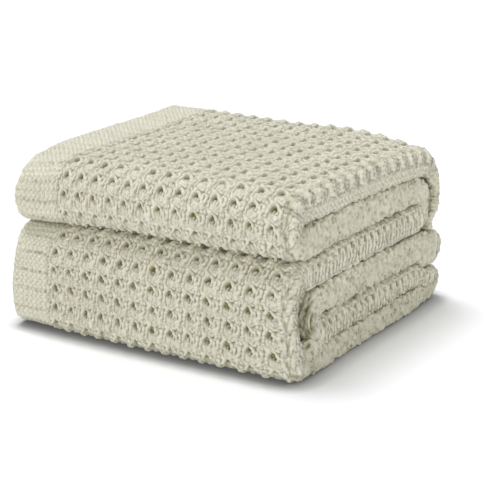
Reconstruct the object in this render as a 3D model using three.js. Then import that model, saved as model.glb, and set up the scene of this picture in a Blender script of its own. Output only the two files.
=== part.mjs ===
// Knitted throw blanket, 130 x 200 cm, folded into a square block and lying on a flat surface.
//
// The cloth is folded in four across its width, so that a long strip of four plies is left. The strip
// is then folded back and forth into six runs, A at the top to F on the surface.
// Millimetres, +Z up. X runs along the folded front, with the knitted side border at -X and the
// rounded lengthwise fold at +X. -Y is the front. The origin is under the middle of the block.

import * as THREE from "three";

// Driving dimensions.
const BLOCK_WIDTH = 325; // a quarter of the 1300 mm wide cloth
const BLOCK_HEIGHT = 178;
const LOWER_FRONT_REACH = -162.5;
const UPPER_FRONT_REACH = -154;
const INNER_FRONT_REACH = -122; // the fold hidden inside the lower front one
const INNER_BACK_REACH = 136; // the fold hidden inside the back wrap
const WRAP_REACH = 159;
const FREE_END_REACH = 159;
const LOWER_BACK_REACH = 162.5;
const RUN_GAP = 1.5; // air between one run and the next

// Thickness of each run of four plies, and of the places where a run is pressed or loose.
const THICK = { A: 28.5, B: 29.5, C: 31, D: 31.5, E: 24, F: 24 };
const INNER_FRONT_THICK = 27.5;
const LOWER_FRONT_THICK = 30;
const HEEL_THICK = 22; // the lower front fold where it turns under
const FOOT_THICK = 19;
const LOWER_BACK_THICK = 18.5;
const WRAP_THICK = 16;
const TUCKED_END_THICK = 9;
const FREE_END_SWELL = 39; // the plies of run D loosen towards its free end
const FREE_END_THICK = 22;

// Height of the middle of each run.
const LEVEL = {
  F: THICK.F / 2,
  E: THICK.F + RUN_GAP + THICK.E / 2,
  D: THICK.F + THICK.E + 2 * RUN_GAP + THICK.D / 2,
  C: THICK.F + THICK.E + THICK.D + 3 * RUN_GAP + THICK.C / 2,
  B: THICK.F + THICK.E + THICK.D + THICK.C + 4 * RUN_GAP + THICK.B / 2,
  A: BLOCK_HEIGHT - THICK.A / 2,
};
const FRONT_SAG = 5; // runs B and C sink this far at the front
const SUNK_B = LEVEL.B - FRONT_SAG;
const SUNK_C = LEVEL.C - FRONT_SAG + 2;
const LOWER_FRONT_MIDDLE = 52;
const LOWER_BACK_MIDDLE = LOWER_BACK_THICK + 0.5;
const FREE_END_MIDDLE = 59.5;

// Where the straight runs stop and the turns begin.
const upperFrontY = UPPER_FRONT_REACH + THICK.B / 2 + (LEVEL.A - SUNK_B) / 2;
const innerBackY = INNER_BACK_REACH - THICK.B / 2 - (LEVEL.B - LEVEL.C) / 2;
const innerFrontY = INNER_FRONT_REACH + INNER_FRONT_THICK / 2 + (LEVEL.D - LEVEL.E) / 2;
const lowerBackY = LOWER_BACK_REACH - LOWER_BACK_THICK;
const footY = LOWER_FRONT_REACH + LOWER_FRONT_THICK / 2 + HEEL_THICK / 2 + 1.5;

// The middle line of the strip, seen from +X, from the end tucked in behind to the end of run D.
// heading: 180 leads to the front, 0 and 360 to the back, 90 up, 270 down.
// thick: thickness of the four plies. steps: straight pieces from the row before.
const STRIP = [
  { name: "tucked end", y: 134.5, z: 82, heading: 90, thick: TUCKED_END_THICK, steps: 0 },
  { name: "back wrap", y: WRAP_REACH - WRAP_THICK / 2, z: 118, heading: 90, thick: WRAP_THICK, steps: 5 },
  { name: "back of A", y: 116, z: LEVEL.A, heading: 180, thick: 26, steps: 8 },
  { name: "front of A", y: upperFrontY, z: LEVEL.A, heading: 180, thick: THICK.A, steps: 5 },
  { name: "upper front fold", y: UPPER_FRONT_REACH + THICK.B / 2, z: (LEVEL.A + SUNK_B) / 2,
    heading: 270, thick: THICK.B, steps: 5 },
  { name: "front of B", y: upperFrontY, z: SUNK_B, heading: 360, thick: THICK.B, steps: 5 },
  { name: "middle of B", y: -60, z: LEVEL.B, heading: 360, thick: THICK.B, steps: 3 },
  { name: "back of B", y: innerBackY, z: LEVEL.B, heading: 360, thick: THICK.B, steps: 3 },
  { name: "inner back fold", y: INNER_BACK_REACH - THICK.B / 2, z: (LEVEL.B + LEVEL.C) / 2,
    heading: 270, thick: THICK.B, steps: 5 },
  { name: "back of C", y: innerBackY, z: LEVEL.C, heading: 180, thick: 29, steps: 5 },
  { name: "middle of C", y: -40, z: LEVEL.C, heading: 180, thick: THICK.C, steps: 3 },
  { name: "front of C", y: -98, z: SUNK_C, heading: 180, thick: 27, steps: 3 },
  { name: "lower front fold", y: LOWER_FRONT_REACH + LOWER_FRONT_THICK / 2, z: LOWER_FRONT_MIDDLE,
    heading: 270, thick: LOWER_FRONT_THICK, steps: 7 },
  { name: "heel", y: LOWER_FRONT_REACH + LOWER_FRONT_THICK / 2 + 0.5, z: 22, heading: 270,
    thick: HEEL_THICK, steps: 3 },
  { name: "foot", y: footY, z: FOOT_THICK / 2, heading: 360, thick: FOOT_THICK, steps: 5 },
  { name: "front of F", y: -85, z: LEVEL.F, heading: 360, thick: THICK.F, steps: 3 },
  { name: "back of F", y: 88, z: LEVEL.F, heading: 360, thick: THICK.F, steps: 3 },
  { name: "sunk end of F", y: lowerBackY, z: LOWER_BACK_THICK / 2, heading: 360,
    thick: LOWER_BACK_THICK, steps: 3 },
  { name: "lower back fold", y: LOWER_BACK_REACH - LOWER_BACK_THICK / 2, z: LOWER_BACK_MIDDLE,
    heading: 90, thick: LOWER_BACK_THICK, steps: 4 },
  { name: "sunk end of E", y: lowerBackY, z: 2 * LOWER_BACK_MIDDLE - LOWER_BACK_THICK / 2, heading: 180,
    thick: LOWER_BACK_THICK, steps: 4 },
  { name: "back of E", y: 88, z: LEVEL.E, heading: 180, thick: THICK.E, steps: 4 },
  { name: "front of E", y: innerFrontY, z: LEVEL.E, heading: 180, thick: THICK.E, steps: 3 },
  { name: "inner front fold", y: INNER_FRONT_REACH + INNER_FRONT_THICK / 2,
    z: (LEVEL.D + LEVEL.E) / 2, heading: 90, thick: INNER_FRONT_THICK, steps: 5 },
  { name: "front of D", y: innerFrontY, z: LEVEL.D, heading: 0, thick: INNER_FRONT_THICK, steps: 5 },
  { name: "middle of D", y: -30, z: LEVEL.D, heading: 0, thick: THICK.D, steps: 2 },
  { name: "back of D", y: 100, z: LEVEL.D, heading: 0, thick: THICK.D, steps: 2 },
  { name: "swell of D", y: 142, z: FREE_END_MIDDLE, heading: 0, thick: FREE_END_SWELL, steps: 4 },
  { name: "free end of D", y: FREE_END_REACH, z: FREE_END_MIDDLE, heading: 0,
    thick: FREE_END_THICK, steps: 3 },
];
const ROUNDING = 0.5523; // share of its leg over which a quarter turn keeps its heading

// The four plies of a run, in shares of its thickness, and the lengthwise folds in mm.
const PLY = 0.2275;
const SLIT = 0.03;
const FOLD_ROUNDING = 11;
const INNER_FOLD_SETBACK = 8;
const INNER_FOLD_ROUNDING = 8;
const SECOND_EDGE_SETBACK = 3;
const EDGE_ROUNDING = 2;

const headingVector = (degrees) => {
  const angle = THREE.MathUtils.degToRad(degrees);
  return new THREE.Vector2(Math.cos(angle), Math.sin(angle));
};

// Stations between two rows of the table: the middle of the strip, the way its outer face looks, and
// its thickness.
function stationsBetween(before, row) {
  const from = new THREE.Vector2(before.y, before.z);
  const to = new THREE.Vector2(row.y, row.z);
  const way = to.clone().sub(from);
  const leaving = headingVector(before.heading);
  const arriving = headingVector(row.heading);
  const curve = new THREE.CubicBezierCurve(
    from,
    from.clone().addScaledVector(leaving, ROUNDING * way.dot(leaving)),
    to.clone().addScaledVector(arriving, -ROUNDING * way.dot(arriving)),
    to,
  );
  const made = [];
  for (let step = 1; step <= row.steps; step += 1) {
    const share = step / row.steps;
    const middle = curve.getPoint(share);
    const along = curve.getTangent(share);
    const thick = THREE.MathUtils.lerp(before.thick, row.thick, THREE.MathUtils.smoothstep(share, 0, 1));
    made.push({ middle, out: new THREE.Vector2(along.y, -along.x), thick });
  }
  return made;
}

function foldedStrip() {
  const start = STRIP[0];
  const along = headingVector(start.heading);
  const stations = [
    {
      middle: new THREE.Vector2(start.y, start.z),
      out: new THREE.Vector2(along.y, -along.x),
      thick: start.thick,
    },
  ];
  for (let row = 1; row < STRIP.length; row += 1) {
    stations.push(...stationsBetween(STRIP[row - 1], STRIP[row]));
  }
  return stations;
}

// The four plies cut across the strip: x along the block, y from -0.5 (inner face) to 0.5 (outer face).
// Ply 1 starts at the first side edge and turns over the +X fold into ply 4. Ply 4 turns up at -X into
// ply 3, which turns inside the +X fold into ply 2, and ply 2 ends at the second side edge.
function foldedPlies() {
  const left = -BLOCK_WIDTH / 2;
  const turnX = BLOCK_WIDTH / 2 - FOLD_ROUNDING;
  const innerX = turnX - INNER_FOLD_SETBACK;
  const leftTurnX = left + FOLD_ROUNDING;
  const secondEdge = left + SECOND_EDGE_SETBACK;
  const under1 = 0.5 - PLY;
  const top2 = under1 - SLIT;
  const under2 = top2 - PLY;
  const top3 = -under2;
  const under3 = -top2;
  const top4 = -under1;
  const quarter = Math.PI / 2;
  const plies = new THREE.Shape();
  // First side edge.
  plies.moveTo(left + EDGE_ROUNDING, 0.5);
  plies.lineTo(left, 0.5 - PLY * 0.3);
  plies.lineTo(left, 0.5 - PLY * 0.7);
  plies.lineTo(left + EDGE_ROUNDING, under1);
  // Inside of the outer +X fold, back to the -X turn.
  plies.lineTo(innerX, under1);
  plies.absellipse(innerX, 0, FOLD_ROUNDING, under1, quarter, -quarter, true);
  plies.lineTo(leftTurnX, top4);
  plies.lineTo(leftTurnX, under3);
  // Outside of the inner +X fold, to the second side edge.
  plies.lineTo(innerX, under3);
  plies.absellipse(innerX, 0, INNER_FOLD_ROUNDING, top2, -quarter, quarter, false);
  plies.lineTo(secondEdge + EDGE_ROUNDING, top2);
  plies.lineTo(secondEdge, top2 - PLY * 0.3);
  plies.lineTo(secondEdge, top2 - PLY * 0.7);
  plies.lineTo(secondEdge + EDGE_ROUNDING, under2);
  // Between plies 2 and 3, and out round the -X turn.
  plies.lineTo(innerX, under2);
  plies.lineTo(innerX, top3);
  plies.lineTo(leftTurnX, top3);
  plies.absellipse(leftTurnX, (top3 - 0.5) / 2, FOLD_ROUNDING, (top3 + 0.5) / 2, quarter, 3 * quarter, false);
  // Under the block and over the outer +X fold.
  plies.lineTo(turnX, -0.5);
  plies.absellipse(turnX, 0, FOLD_ROUNDING, 0.5, -quarter, quarter, false);
  plies.closePath();
  return plies;
}

// The stack of plies is extruded straight, one unit for each station, and then bent along the strip.
function blanketGeometry() {
  const stations = foldedStrip();
  const steps = stations.length - 1;
  const settings = { depth: steps, steps, bevelEnabled: false, curveSegments: 3 };
  const geometry = new THREE.ExtrudeGeometry(foldedPlies(), settings);
  const place = geometry.getAttribute("position");
  for (let index = 0; index < place.count; index += 1) {
    const { middle, out, thick } = stations[Math.round(place.getZ(index))];
    const reach = place.getY(index) * thick;
    place.setXYZ(index, place.getX(index), middle.x + out.x * reach, middle.y + out.y * reach);
  }
  geometry.deleteAttribute("normal");
  geometry.deleteAttribute("uv");
  geometry.computeVertexNormals();
  return geometry;
}

const knittedYarn = new THREE.MeshStandardMaterial({ color: "#d9d6c2", roughness: 0.95, metalness: 0 });

const blanket = new THREE.Mesh(blanketGeometry(), knittedYarn);
blanket.name = "knitted_blanket";

const part = new THREE.Group();
part.add(blanket);

export default part;
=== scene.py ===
"""Looks of a folded knitted throw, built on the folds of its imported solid.

The throw is one knitted cloth, 1.3 m wide and 1.85 m long. It is folded in four across its width into
a long strip of four plies, and the strip is folded back and forth into six runs, A at the top to F on
the floor. All sizes in the tables are millimetres. X runs along the folded front, from the plain
knitted border at -X to the rounded lengthwise fold at +X, and -Y is the front.
"""
import logging
import math
from dataclasses import dataclass, field
from enum import Enum
from typing import Optional

import bmesh
import bpy
import numpy as np
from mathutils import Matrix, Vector


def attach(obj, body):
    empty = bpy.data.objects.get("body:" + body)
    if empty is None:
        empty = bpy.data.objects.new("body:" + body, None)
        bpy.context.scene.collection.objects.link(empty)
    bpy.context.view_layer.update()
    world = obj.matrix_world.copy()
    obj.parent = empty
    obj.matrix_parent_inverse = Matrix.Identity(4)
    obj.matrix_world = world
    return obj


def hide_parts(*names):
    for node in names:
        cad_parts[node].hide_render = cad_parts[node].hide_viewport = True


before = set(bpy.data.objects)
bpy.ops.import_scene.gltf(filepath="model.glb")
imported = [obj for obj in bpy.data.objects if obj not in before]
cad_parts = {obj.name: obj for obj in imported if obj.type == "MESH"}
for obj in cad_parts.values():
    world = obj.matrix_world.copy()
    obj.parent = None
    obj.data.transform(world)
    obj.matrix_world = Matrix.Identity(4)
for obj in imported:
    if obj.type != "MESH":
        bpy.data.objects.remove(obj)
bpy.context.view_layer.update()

LOG = logging.getLogger("throw")
MM = 0.001
HALF_WIDTH = 162.5  # of the folded strip, in mm
BLENDED = ("thick", "ribs", "fine", "braid", "first", "last", "pitch", "corner")
NOISE_CELLS = 256  # random values each way before they come round again
SPECK_CELLS = 128  # the same for scattered specks
NO_YARN = -9.0  # height in mm that stands for no strand, far below any gap
Array = np.ndarray
Way = tuple[tuple[float, float, float], ...]
Wave = tuple[float, float, int]


# ---------------------------------------------------------------- small helpers


def linear_from_hex(code: str) -> tuple[float, float, float, float]:
    """Turn an sRGB hex colour into linear values.

    Args:
        code: colour such as "#e6e2d0".

    Returns:
        Red, green and blue, linear, and an alpha of 1.
    """
    values = []
    for start in (1, 3, 5):
        share = int(code[start:start + 2], 16) / 255.0
        values.append(share / 12.92 if share <= 0.04045 else ((share + 0.055) / 1.055) ** 2.4)
    return (values[0], values[1], values[2], 1.0)


def smooth_step(value: Array, low: float, high: float) -> Array:
    """Rise smoothly from 0 at low to 1 at high.

    Args:
        value: where to read the rise.
        low: where it starts.
        high: where it ends.

    Returns:
        The rise, from 0 to 1, in the shape of value.
    """
    share = np.clip((value - low) / (high - low), 0.0, 1.0)
    return share * share * (3.0 - 2.0 * share)


def soft_noise(across: Array, along: Array, size: float, seed: int) -> Array:
    """Smooth random values over a surface, the same in every run.

    Args:
        across: first coordinate, in mm.
        along: second coordinate, in mm.
        size: distance from one random value to the next, in mm.
        seed: which set of random values to use.

    Returns:
        Values from -1 to 1.
    """
    table = np.random.default_rng(seed).uniform(-1.0, 1.0, (NOISE_CELLS, NOISE_CELLS))
    x = across / size + 61.3
    y = along / size + 37.9
    x0 = np.floor(x).astype(int)
    y0 = np.floor(y).astype(int)
    fx = x - x0
    fy = y - y0
    fx = fx * fx * (3.0 - 2.0 * fx)
    fy = fy * fy * (3.0 - 2.0 * fy)
    left, right = x0 % NOISE_CELLS, (x0 + 1) % NOISE_CELLS
    low, high = y0 % NOISE_CELLS, (y0 + 1) % NOISE_CELLS
    near = table[left, low] * (1.0 - fx) + table[right, low] * fx
    far = table[left, high] * (1.0 - fx) + table[right, high] * fx
    return near * (1.0 - fy) + far * fy


def wandered(values: Array, across: Array, along: Array, *waves: Wave) -> Array:
    """Let values wander softly over a surface.

    Args:
        values: what wanders.
        across: first coordinate, in mm.
        along: second coordinate, in mm.
        waves: for each wave, how much it moves them, its size in mm and its set of random values.

    Returns:
        The values with every wave added.
    """
    for much, size, seed in waves:
        values = values + much * soft_noise(across, along, size, seed)
    return values


def scattered_specks(across: Array, along: Array, wide: float, high: float, seed: int) -> Array:
    """Spread small pits unevenly over a surface, one to a cell and some deeper than others.

    Args:
        across: first coordinate, in mm.
        along: second coordinate, in mm.
        wide: a cell's width, in mm.
        high: a cell's height, in mm.
        seed: which set of random places and depths to use.

    Returns:
        Depth from 0 to 1.
    """
    table = np.random.default_rng(seed).uniform(0.0, 1.0, (3, SPECK_CELLS, SPECK_CELLS))
    y = along / high + 31.0
    y0 = np.floor(y).astype(int)
    depth = np.zeros(y.shape)
    for row in (y0 - 1, y0, y0 + 1):
        x = across / wide + 47.0 + 0.5 * (row % 2)
        x0 = np.floor(x).astype(int)
        for column in (x0 - 1, x0, x0 + 1):
            place = table[:, column % SPECK_CELLS, row % SPECK_CELLS]
            u = (x - column - 0.25 - 0.5 * place[0]) * wide
            v = (y - row - 0.25 - 0.5 * place[1]) * high
            reach = 1.1 + 0.7 * place[2]
            depth = np.maximum(depth, place[2] * np.exp(-(u * u + v * v) / reach ** 2))
    return depth


# ---------------------------------------------------------------- the folded strip


@dataclass(frozen=True)
class StripRow:
    """One row of the strip's table: the middle of the four plies where the strip changes.

    Attributes:
        name: what this place is.
        y: place front to back, in mm.
        z: height, in mm.
        heading: degrees, 180 leads to the front, 0 and 360 to the back, 90 up and 270 down.
        thick: thickness of the four plies, in mm.
        ribs: 1 where the +X fold shows ribs, 0 where it shows the small knots of the cloth's back.
        fine: 1 where those ribs are the fine ones of the inner runs.
        braid: 1 where the +X fold shows strands that run along the strip.
        first: place in X of the first column of holes.
        last: place in X of the thirteenth column of holes.
        pitch: distance from one row of holes to the next on the outer face.
        corner: how far the +X fold takes to round, in mm.
    """

    name: str
    y: float
    z: float
    heading: float
    thick: float
    ribs: float
    fine: float
    braid: float
    first: float
    last: float
    pitch: float
    corner: float

    @property
    def way(self) -> Array:
        """The heading as a direction in Y and Z."""
        return np.array([math.cos(math.radians(self.heading)), math.sin(math.radians(self.heading))])


@dataclass
class Stations:
    """Places along the strip, one value of each array for each place.

    Attributes:
        y: place of the strip's middle front to back, in mm.
        z: its height, in mm.
        out_y: Y of the direction out of the strip's outer face.
        out_z: Z of that direction.
        thick, ribs, fine, braid, first, last, corner: as in the strip's table.
        arc: mm walked along the middle.
        course: rows of eyelets passed.
    """

    y: Array
    z: Array
    out_y: Array
    out_z: Array
    thick: Array
    ribs: Array
    fine: Array
    braid: Array
    first: Array
    last: Array
    corner: Array
    arc: Array
    course: Array

    def cut(self, index: Array) -> "Stations":
        """Keep the stations at these fractional indices.

        Args:
            index: fractional positions in the arrays.

        Returns:
            Stations read between the dense ones.
        """
        dense = np.arange(len(self.arc))
        parts = {name: np.interp(index, dense, getattr(self, name)) for name in self.__dataclass_fields__}
        length = np.hypot(parts["out_y"], parts["out_z"])
        parts["out_y"] = parts["out_y"] / length
        parts["out_z"] = parts["out_z"] / length
        return Stations(**parts)

    def laid_out(self, x: Array, offset: Array, moved: bool = True) -> Array:
        """Lay points or directions out from the strip.

        Args:
            x: their X, rows for stations.
            offset: how far they lead out of the strip, the same shape.
            moved: whether they are points, which start from the strip's middle.

        Returns:
            X, Y and Z of each.
        """
        y, z = offset * self.out_y[:, None], offset * self.out_z[:, None]
        if moved:
            y, z = self.y[:, None] + y, self.z[:, None] + z
        return np.stack([x, y, z], axis=-1)


@dataclass
class FoldedStrip:
    """The strip of four plies, folded back and forth: where its middle runs and how thick it is.

    Attributes:
        rows: the strip's table.
        rounding: how full the turns between rows are; this much makes a quarter turn round.
        samples: dense stations from one row to the next.
        fine_samples: readings along a piece before its stations are spaced evenly.
        least_stretch: least length of the outer face inside a bend, as a share of the middle's.
    """

    rows: tuple[StripRow, ...]
    rounding: float = 0.5523
    samples: int = 120
    fine_samples: int = 6000
    least_stretch: float = 0.85
    dense: Stations = field(init=False)

    def __post_init__(self) -> None:
        """Work out the dense stations once."""
        self.dense = self._walk()

    def _walk(self) -> Stations:
        """Walk the table with smooth turns between its rows.

        Returns:
            Dense stations along the whole strip.
        """
        share = np.linspace(0.0, 1.0, self.samples, endpoint=False)
        ease = smooth_step(share, 0.0, 1.0)
        s = share[:, None]
        stretches = []
        for start, end in zip(self.rows, self.rows[1:]):
            p0 = np.array([start.y, start.z])
            p3 = np.array([end.y, end.z])
            p1 = p0 + start.way * self.rounding * float((p3 - p0) @ start.way)
            p2 = p3 - end.way * self.rounding * float((p3 - p0) @ end.way)
            point = (1 - s) ** 3 * p0 + 3 * (1 - s) ** 2 * s * p1 + 3 * (1 - s) * s ** 2 * p2 + s ** 3 * p3
            way = 3 * (1 - s) ** 2 * (p1 - p0) + 6 * (1 - s) * s * (p2 - p1) + 3 * s ** 2 * (p3 - p2)
            way = way / np.linalg.norm(way, axis=1, keepdims=True)
            stretch = {"y": point[:, 0], "z": point[:, 1], "out_y": way[:, 1], "out_z": -way[:, 0]}
            for key in BLENDED:
                low, high = getattr(start, key), getattr(end, key)
                stretch[key] = low + (high - low) * ease
            stretches.append(stretch)
        whole = {key: np.concatenate([stretch[key] for stretch in stretches]) for key in stretches[0]}
        outer_y = whole["y"] + whole["out_y"] * whole["thick"] / 2
        outer_z = whole["z"] + whole["out_z"] * whole["thick"] / 2
        middle_step = np.hypot(np.diff(whole["y"]), np.diff(whole["z"]))
        outer_step = np.hypot(np.diff(outer_y), np.diff(outer_z))
        step = np.maximum(outer_step, self.least_stretch * middle_step)
        arc = np.concatenate([[0.0], np.cumsum(middle_step)])
        course = np.concatenate([[0.0], np.cumsum(step / whole.pop("pitch")[1:])])
        return Stations(arc=arc, course=course, **whole)

    def place(self, name: str, beyond: float = 0.0) -> float:
        """Find a row's place along the strip.

        Args:
            name: the row's name.
            beyond: mm to go on past it, or back if negative.

        Returns:
            A fractional index in the dense stations.
        """
        number = [row.name for row in self.rows].index(name)
        index = min(number * self.samples, len(self.dense.arc) - 1)
        arc = self.dense.arc[index] + beyond
        return float(np.interp(arc, self.dense.arc, np.arange(len(self.dense.arc))))

    def between(self, start: float, end: float, spacing: float, faces: tuple[int, ...]) -> Stations:
        """Stations spaced evenly along the strip's faces.

        Args:
            start: fractional index to start at.
            end: fractional index to end at.
            spacing: distance between stations, in mm.
            faces: 1 for the outer face, -1 for the inner face, or both, where the longer one counts.

        Returns:
            The stations.
        """
        index = np.linspace(start, end, self.fine_samples)
        piece = self.dense.cut(index)
        steps = []
        for face in faces:
            y = piece.y + face * piece.out_y * piece.thick / 2
            z = piece.z + face * piece.out_z * piece.thick / 2
            steps.append(np.hypot(np.diff(y), np.diff(z)))
        run = np.concatenate([[0.0], np.cumsum(np.maximum.reduce(steps))])
        count = max(2, int(round(run[-1] / spacing)) + 1)
        return self.dense.cut(np.interp(np.linspace(0.0, run[-1], count), run, index))


# ---------------------------------------------------------------- the plies, cut across the strip


class Facing(Enum):
    """Which part of the four plies' outline a piece covers."""

    OUTER = "outer face"
    INNER = "inner face"
    FOLD = "lengthwise fold at +X"
    FIRST_EDGE = "side edge of ply 1"
    SECOND_EDGE = "side edge of ply 2"
    TURN = "lengthwise fold at -X"

    @property
    def faces(self) -> tuple[int, ...]:
        """Name the strip's faces beside the piece.

        Returns:
            1 for the outer face, -1 for the inner one, or both.
        """
        if self is Facing.FOLD:
            return (1, -1)
        return (-1,) if self in (Facing.INNER, Facing.TURN) else (1,)


@dataclass
class Outline:
    """Points of the plies' outline: rows are stations, columns go across.

    Attributes:
        x: place in X, in mm.
        offset: place out of the strip's middle, in mm.
        normal_x: X of the surface's direction.
        normal_offset: its share out of the strip's middle.
        across: mm walked across the cloth.
        share: place on a rounded side from 0 to 1, and beyond over the flats beside it.
        sunk: how far the point lies under the flat piece there, in mm.
    """

    x: Array
    offset: Array
    normal_x: Array
    normal_offset: Array
    across: Array
    share: Array
    sunk: Array


@dataclass(frozen=True)
class PlyOutline:
    """The outline of the four plies, cut across the strip.

    Attributes:
        half_width: half the strip's width, in mm.
        ply: thickness of one ply, as a share of the four.
        middles: offset of each ply's middle, from ply 4 to ply 1, as a share of the four.
        crown: how far the +X fold's side swells out, in mm.
        corner_share: most that a corner may round, as a share of the thickness.
        corner_drop: most that it may round, as a share of how far it reaches in X.
        inner_corner: rounding of the inner corner, as a share of the outer one's.
        turn_round: how far the -X fold of plies 3 and 4 takes to round, in mm.
        second_setback: how far ply 2's edge stays behind ply 1's, in mm.
        reach: how far a rounded piece runs on over the flats beside it, in mm.
        sink: how far it lies under the flat piece there, in mm.
        fold_walk, turn_walk, edge_walk: how long the +X fold, the -X fold and a side edge are taken to
            be when their points are counted, in mm.
    """

    half_width: float = HALF_WIDTH
    ply: float = 0.2275
    middles: tuple[float, ...] = (-0.38625, -0.12875, 0.12875, 0.38625)
    crown: float = 1.8
    corner_share: float = 0.42
    corner_drop: float = 0.85
    inner_corner: float = 0.55
    turn_round: float = 11.0
    second_setback: float = 3.0
    reach: float = 7.0
    sink: float = 1.3
    fold_walk: float = 46.0
    turn_walk: float = 28.0
    edge_walk: float = 10.5

    def flat(self, facing: Facing, stations: Stations, spacing: float, low: float) -> Outline:
        """Lay out a flat face between its two rounded sides.

        Args:
            facing: the outer or the inner face.
            stations: the stations it stands on.
            spacing: distance between points across, in mm.
            low: least place in X to start at.

        Returns:
            The face's points.
        """
        thick = stations.thick
        if facing is Facing.OUTER:
            side, rounding, corner = 1.0, self.ply * thick / 2, stations.corner
        else:
            side, rounding, corner = -1.0, self.turn_round, stations.corner * self.inner_corner
        start = np.maximum(low, rounding - self.half_width + 0.0 * thick)[:, None]
        end = (self.half_width - corner)[:, None]
        share = np.linspace(0.0, 1.0, int(round((end.max() - start.min()) / spacing)) + 1)[None, :]
        x = start + (end - start) * share
        zero = 0.0 * x
        offset = side * thick[:, None] / 2 + zero
        return Outline(x, offset, zero, side + zero, x, zero, zero)

    def rounded(self, facing: Facing, stations: Stations, spacing: float) -> Outline:
        """Lay out a rounded side, with a little of the flats beside it.

        Args:
            facing: the part of the outline.
            stations: the stations it stands on.
            spacing: distance between points across, in mm.

        Returns:
            The side's points, from the outer side to the inner side.
        """
        t = stations.thick[:, None]
        radius = self.ply * t / 2
        length = {Facing.FOLD: self.fold_walk, Facing.TURN: self.turn_walk}.get(facing, self.edge_walk)
        flat_count = max(2, int(self.reach / spacing))
        share = np.concatenate([np.linspace(-1.0, 0.0, flat_count, endpoint=False),
                                np.linspace(0.0, 1.0, int(length / spacing) + 1),
                                np.linspace(1.0, 2.0, flat_count + 1)[1:]])[None, :] + 0.0 * t
        beyond = np.maximum(0.0, -share) + np.maximum(0.0, share - 1.0)
        inside = np.clip(share, 0.0, 1.0)
        if facing is Facing.FOLD:
            side, start = 1.0, self.half_width - stations.corner[:, None]
            x, offset, normal_x, normal_o, length = self._fold(inside, t, stations.corner[:, None])
        else:
            side = -1.0
            if facing is Facing.TURN:
                between = (self.middles[0] + self.middles[1]) / 2
                start, centre_o = self.turn_round - self.half_width, between * t
                reach_x, reach_o = self.turn_round + 0.0 * t, (0.5 + between) * t
            elif facing is Facing.SECOND_EDGE:
                start, centre_o = radius - self.half_width + self.second_setback, self.middles[2] * t
                reach_x, reach_o = radius, radius
            else:
                start, centre_o = radius - self.half_width, self.middles[3] * t
                reach_x, reach_o = radius, radius
            angle = np.pi / 2 - np.pi * inside
            x = start - reach_x * np.cos(angle)
            offset = centre_o + reach_o * np.sin(angle)
            normal_x = -np.cos(angle) / reach_x
            normal_o = np.sin(angle) / reach_o
        x = x - side * beyond * self.reach
        size = np.hypot(normal_x, normal_o)
        turned = inside * length + (np.minimum(share, 0.0) + np.maximum(share - 1.0, 0.0)) * self.reach
        sunk = self.sink * smooth_step(beyond, 0.0, 0.6)
        return Outline(x, offset, normal_x / size, normal_o / size, start + side * turned, share, sunk)

    def _fold(self, share: Array, t: Array, corner: Array) -> tuple[Array, Array, Array, Array, Array]:
        """Round the +X fold: a corner, a slightly crowned side and a tighter corner.

        Args:
            share: place from the outer face at 0 to the inner face at 1.
            t: thickness of the plies.
            corner: how far the outer corner reaches in X.

        Returns:
            X, offset, the normal in X and in offset, and the fold's length.
        """
        tight = corner * self.inner_corner
        drop = np.minimum(self.corner_share * t, self.corner_drop * corner)
        tight_drop = np.minimum(self.corner_share * t, self.corner_drop * tight)
        quarter = np.pi / 4 * (corner + drop)
        tight_quarter = np.pi / 4 * (tight + tight_drop)
        wall = t - drop - tight_drop
        length = quarter + wall + tight_quarter
        walked = share * length
        angle = np.clip(walked / quarter, 0.0, 1.0) * np.pi / 2
        tight_angle = np.clip((length - walked) / tight_quarter, 0.0, 1.0) * np.pi / 2
        offset = (t / 2 - drop * (1.0 - np.cos(angle)) - np.clip(walked - quarter, 0.0, wall)
                  - tight_drop * np.cos(tight_angle))
        last = walked > quarter + wall
        normal_x = np.where(last, np.sin(tight_angle) / tight, np.sin(angle) / corner)
        normal_o = np.where(last, -np.cos(tight_angle) / tight_drop, np.cos(angle) / drop)
        normal_o = normal_o + 8 * self.crown * offset / t ** 2 * normal_x
        x = (self.half_width - corner * (1.0 - np.sin(angle)) - tight * (1.0 - np.sin(tight_angle))
             + self.crown * (1.0 - (2 * offset / t) ** 2))
        return x, offset, normal_x, normal_o, length

    def fold_x(self, offset: Array, thick: float, corner: float) -> Array:
        """Find the +X fold's surface, without its crown, where the plies end.

        Args:
            offset: places out of the strip's middle, in mm.
            thick: thickness of the plies, in mm.
            corner: how far the outer corner reaches in X, in mm.

        Returns:
            The surface's places in X.
        """
        drop = min(self.corner_share * thick, self.corner_drop * corner)
        over = np.clip((np.abs(offset) - (thick / 2 - drop)) / drop, 0.0, 1.0)
        return self.half_width - corner * (1.0 - np.sqrt(1.0 - over ** 2))


# ---------------------------------------------------------------- the knit


@dataclass(frozen=True)
class Strand:
    """A length of yarn as it lies in one repeat of a stitch.

    Attributes:
        name: what it does in the stitch.
        radius: half the width that shows, in mm.
        way: places it passes, each across and along in repeats, and the height of its top in mm.
    """

    name: str
    radius: float
    way: Way


@dataclass(frozen=True)
class Hollow:
    """A gap between strands: its place and reach in repeats, and its depth in mm."""

    across: float
    along: float
    reach_across: float
    reach_along: float
    depth: float


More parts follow.
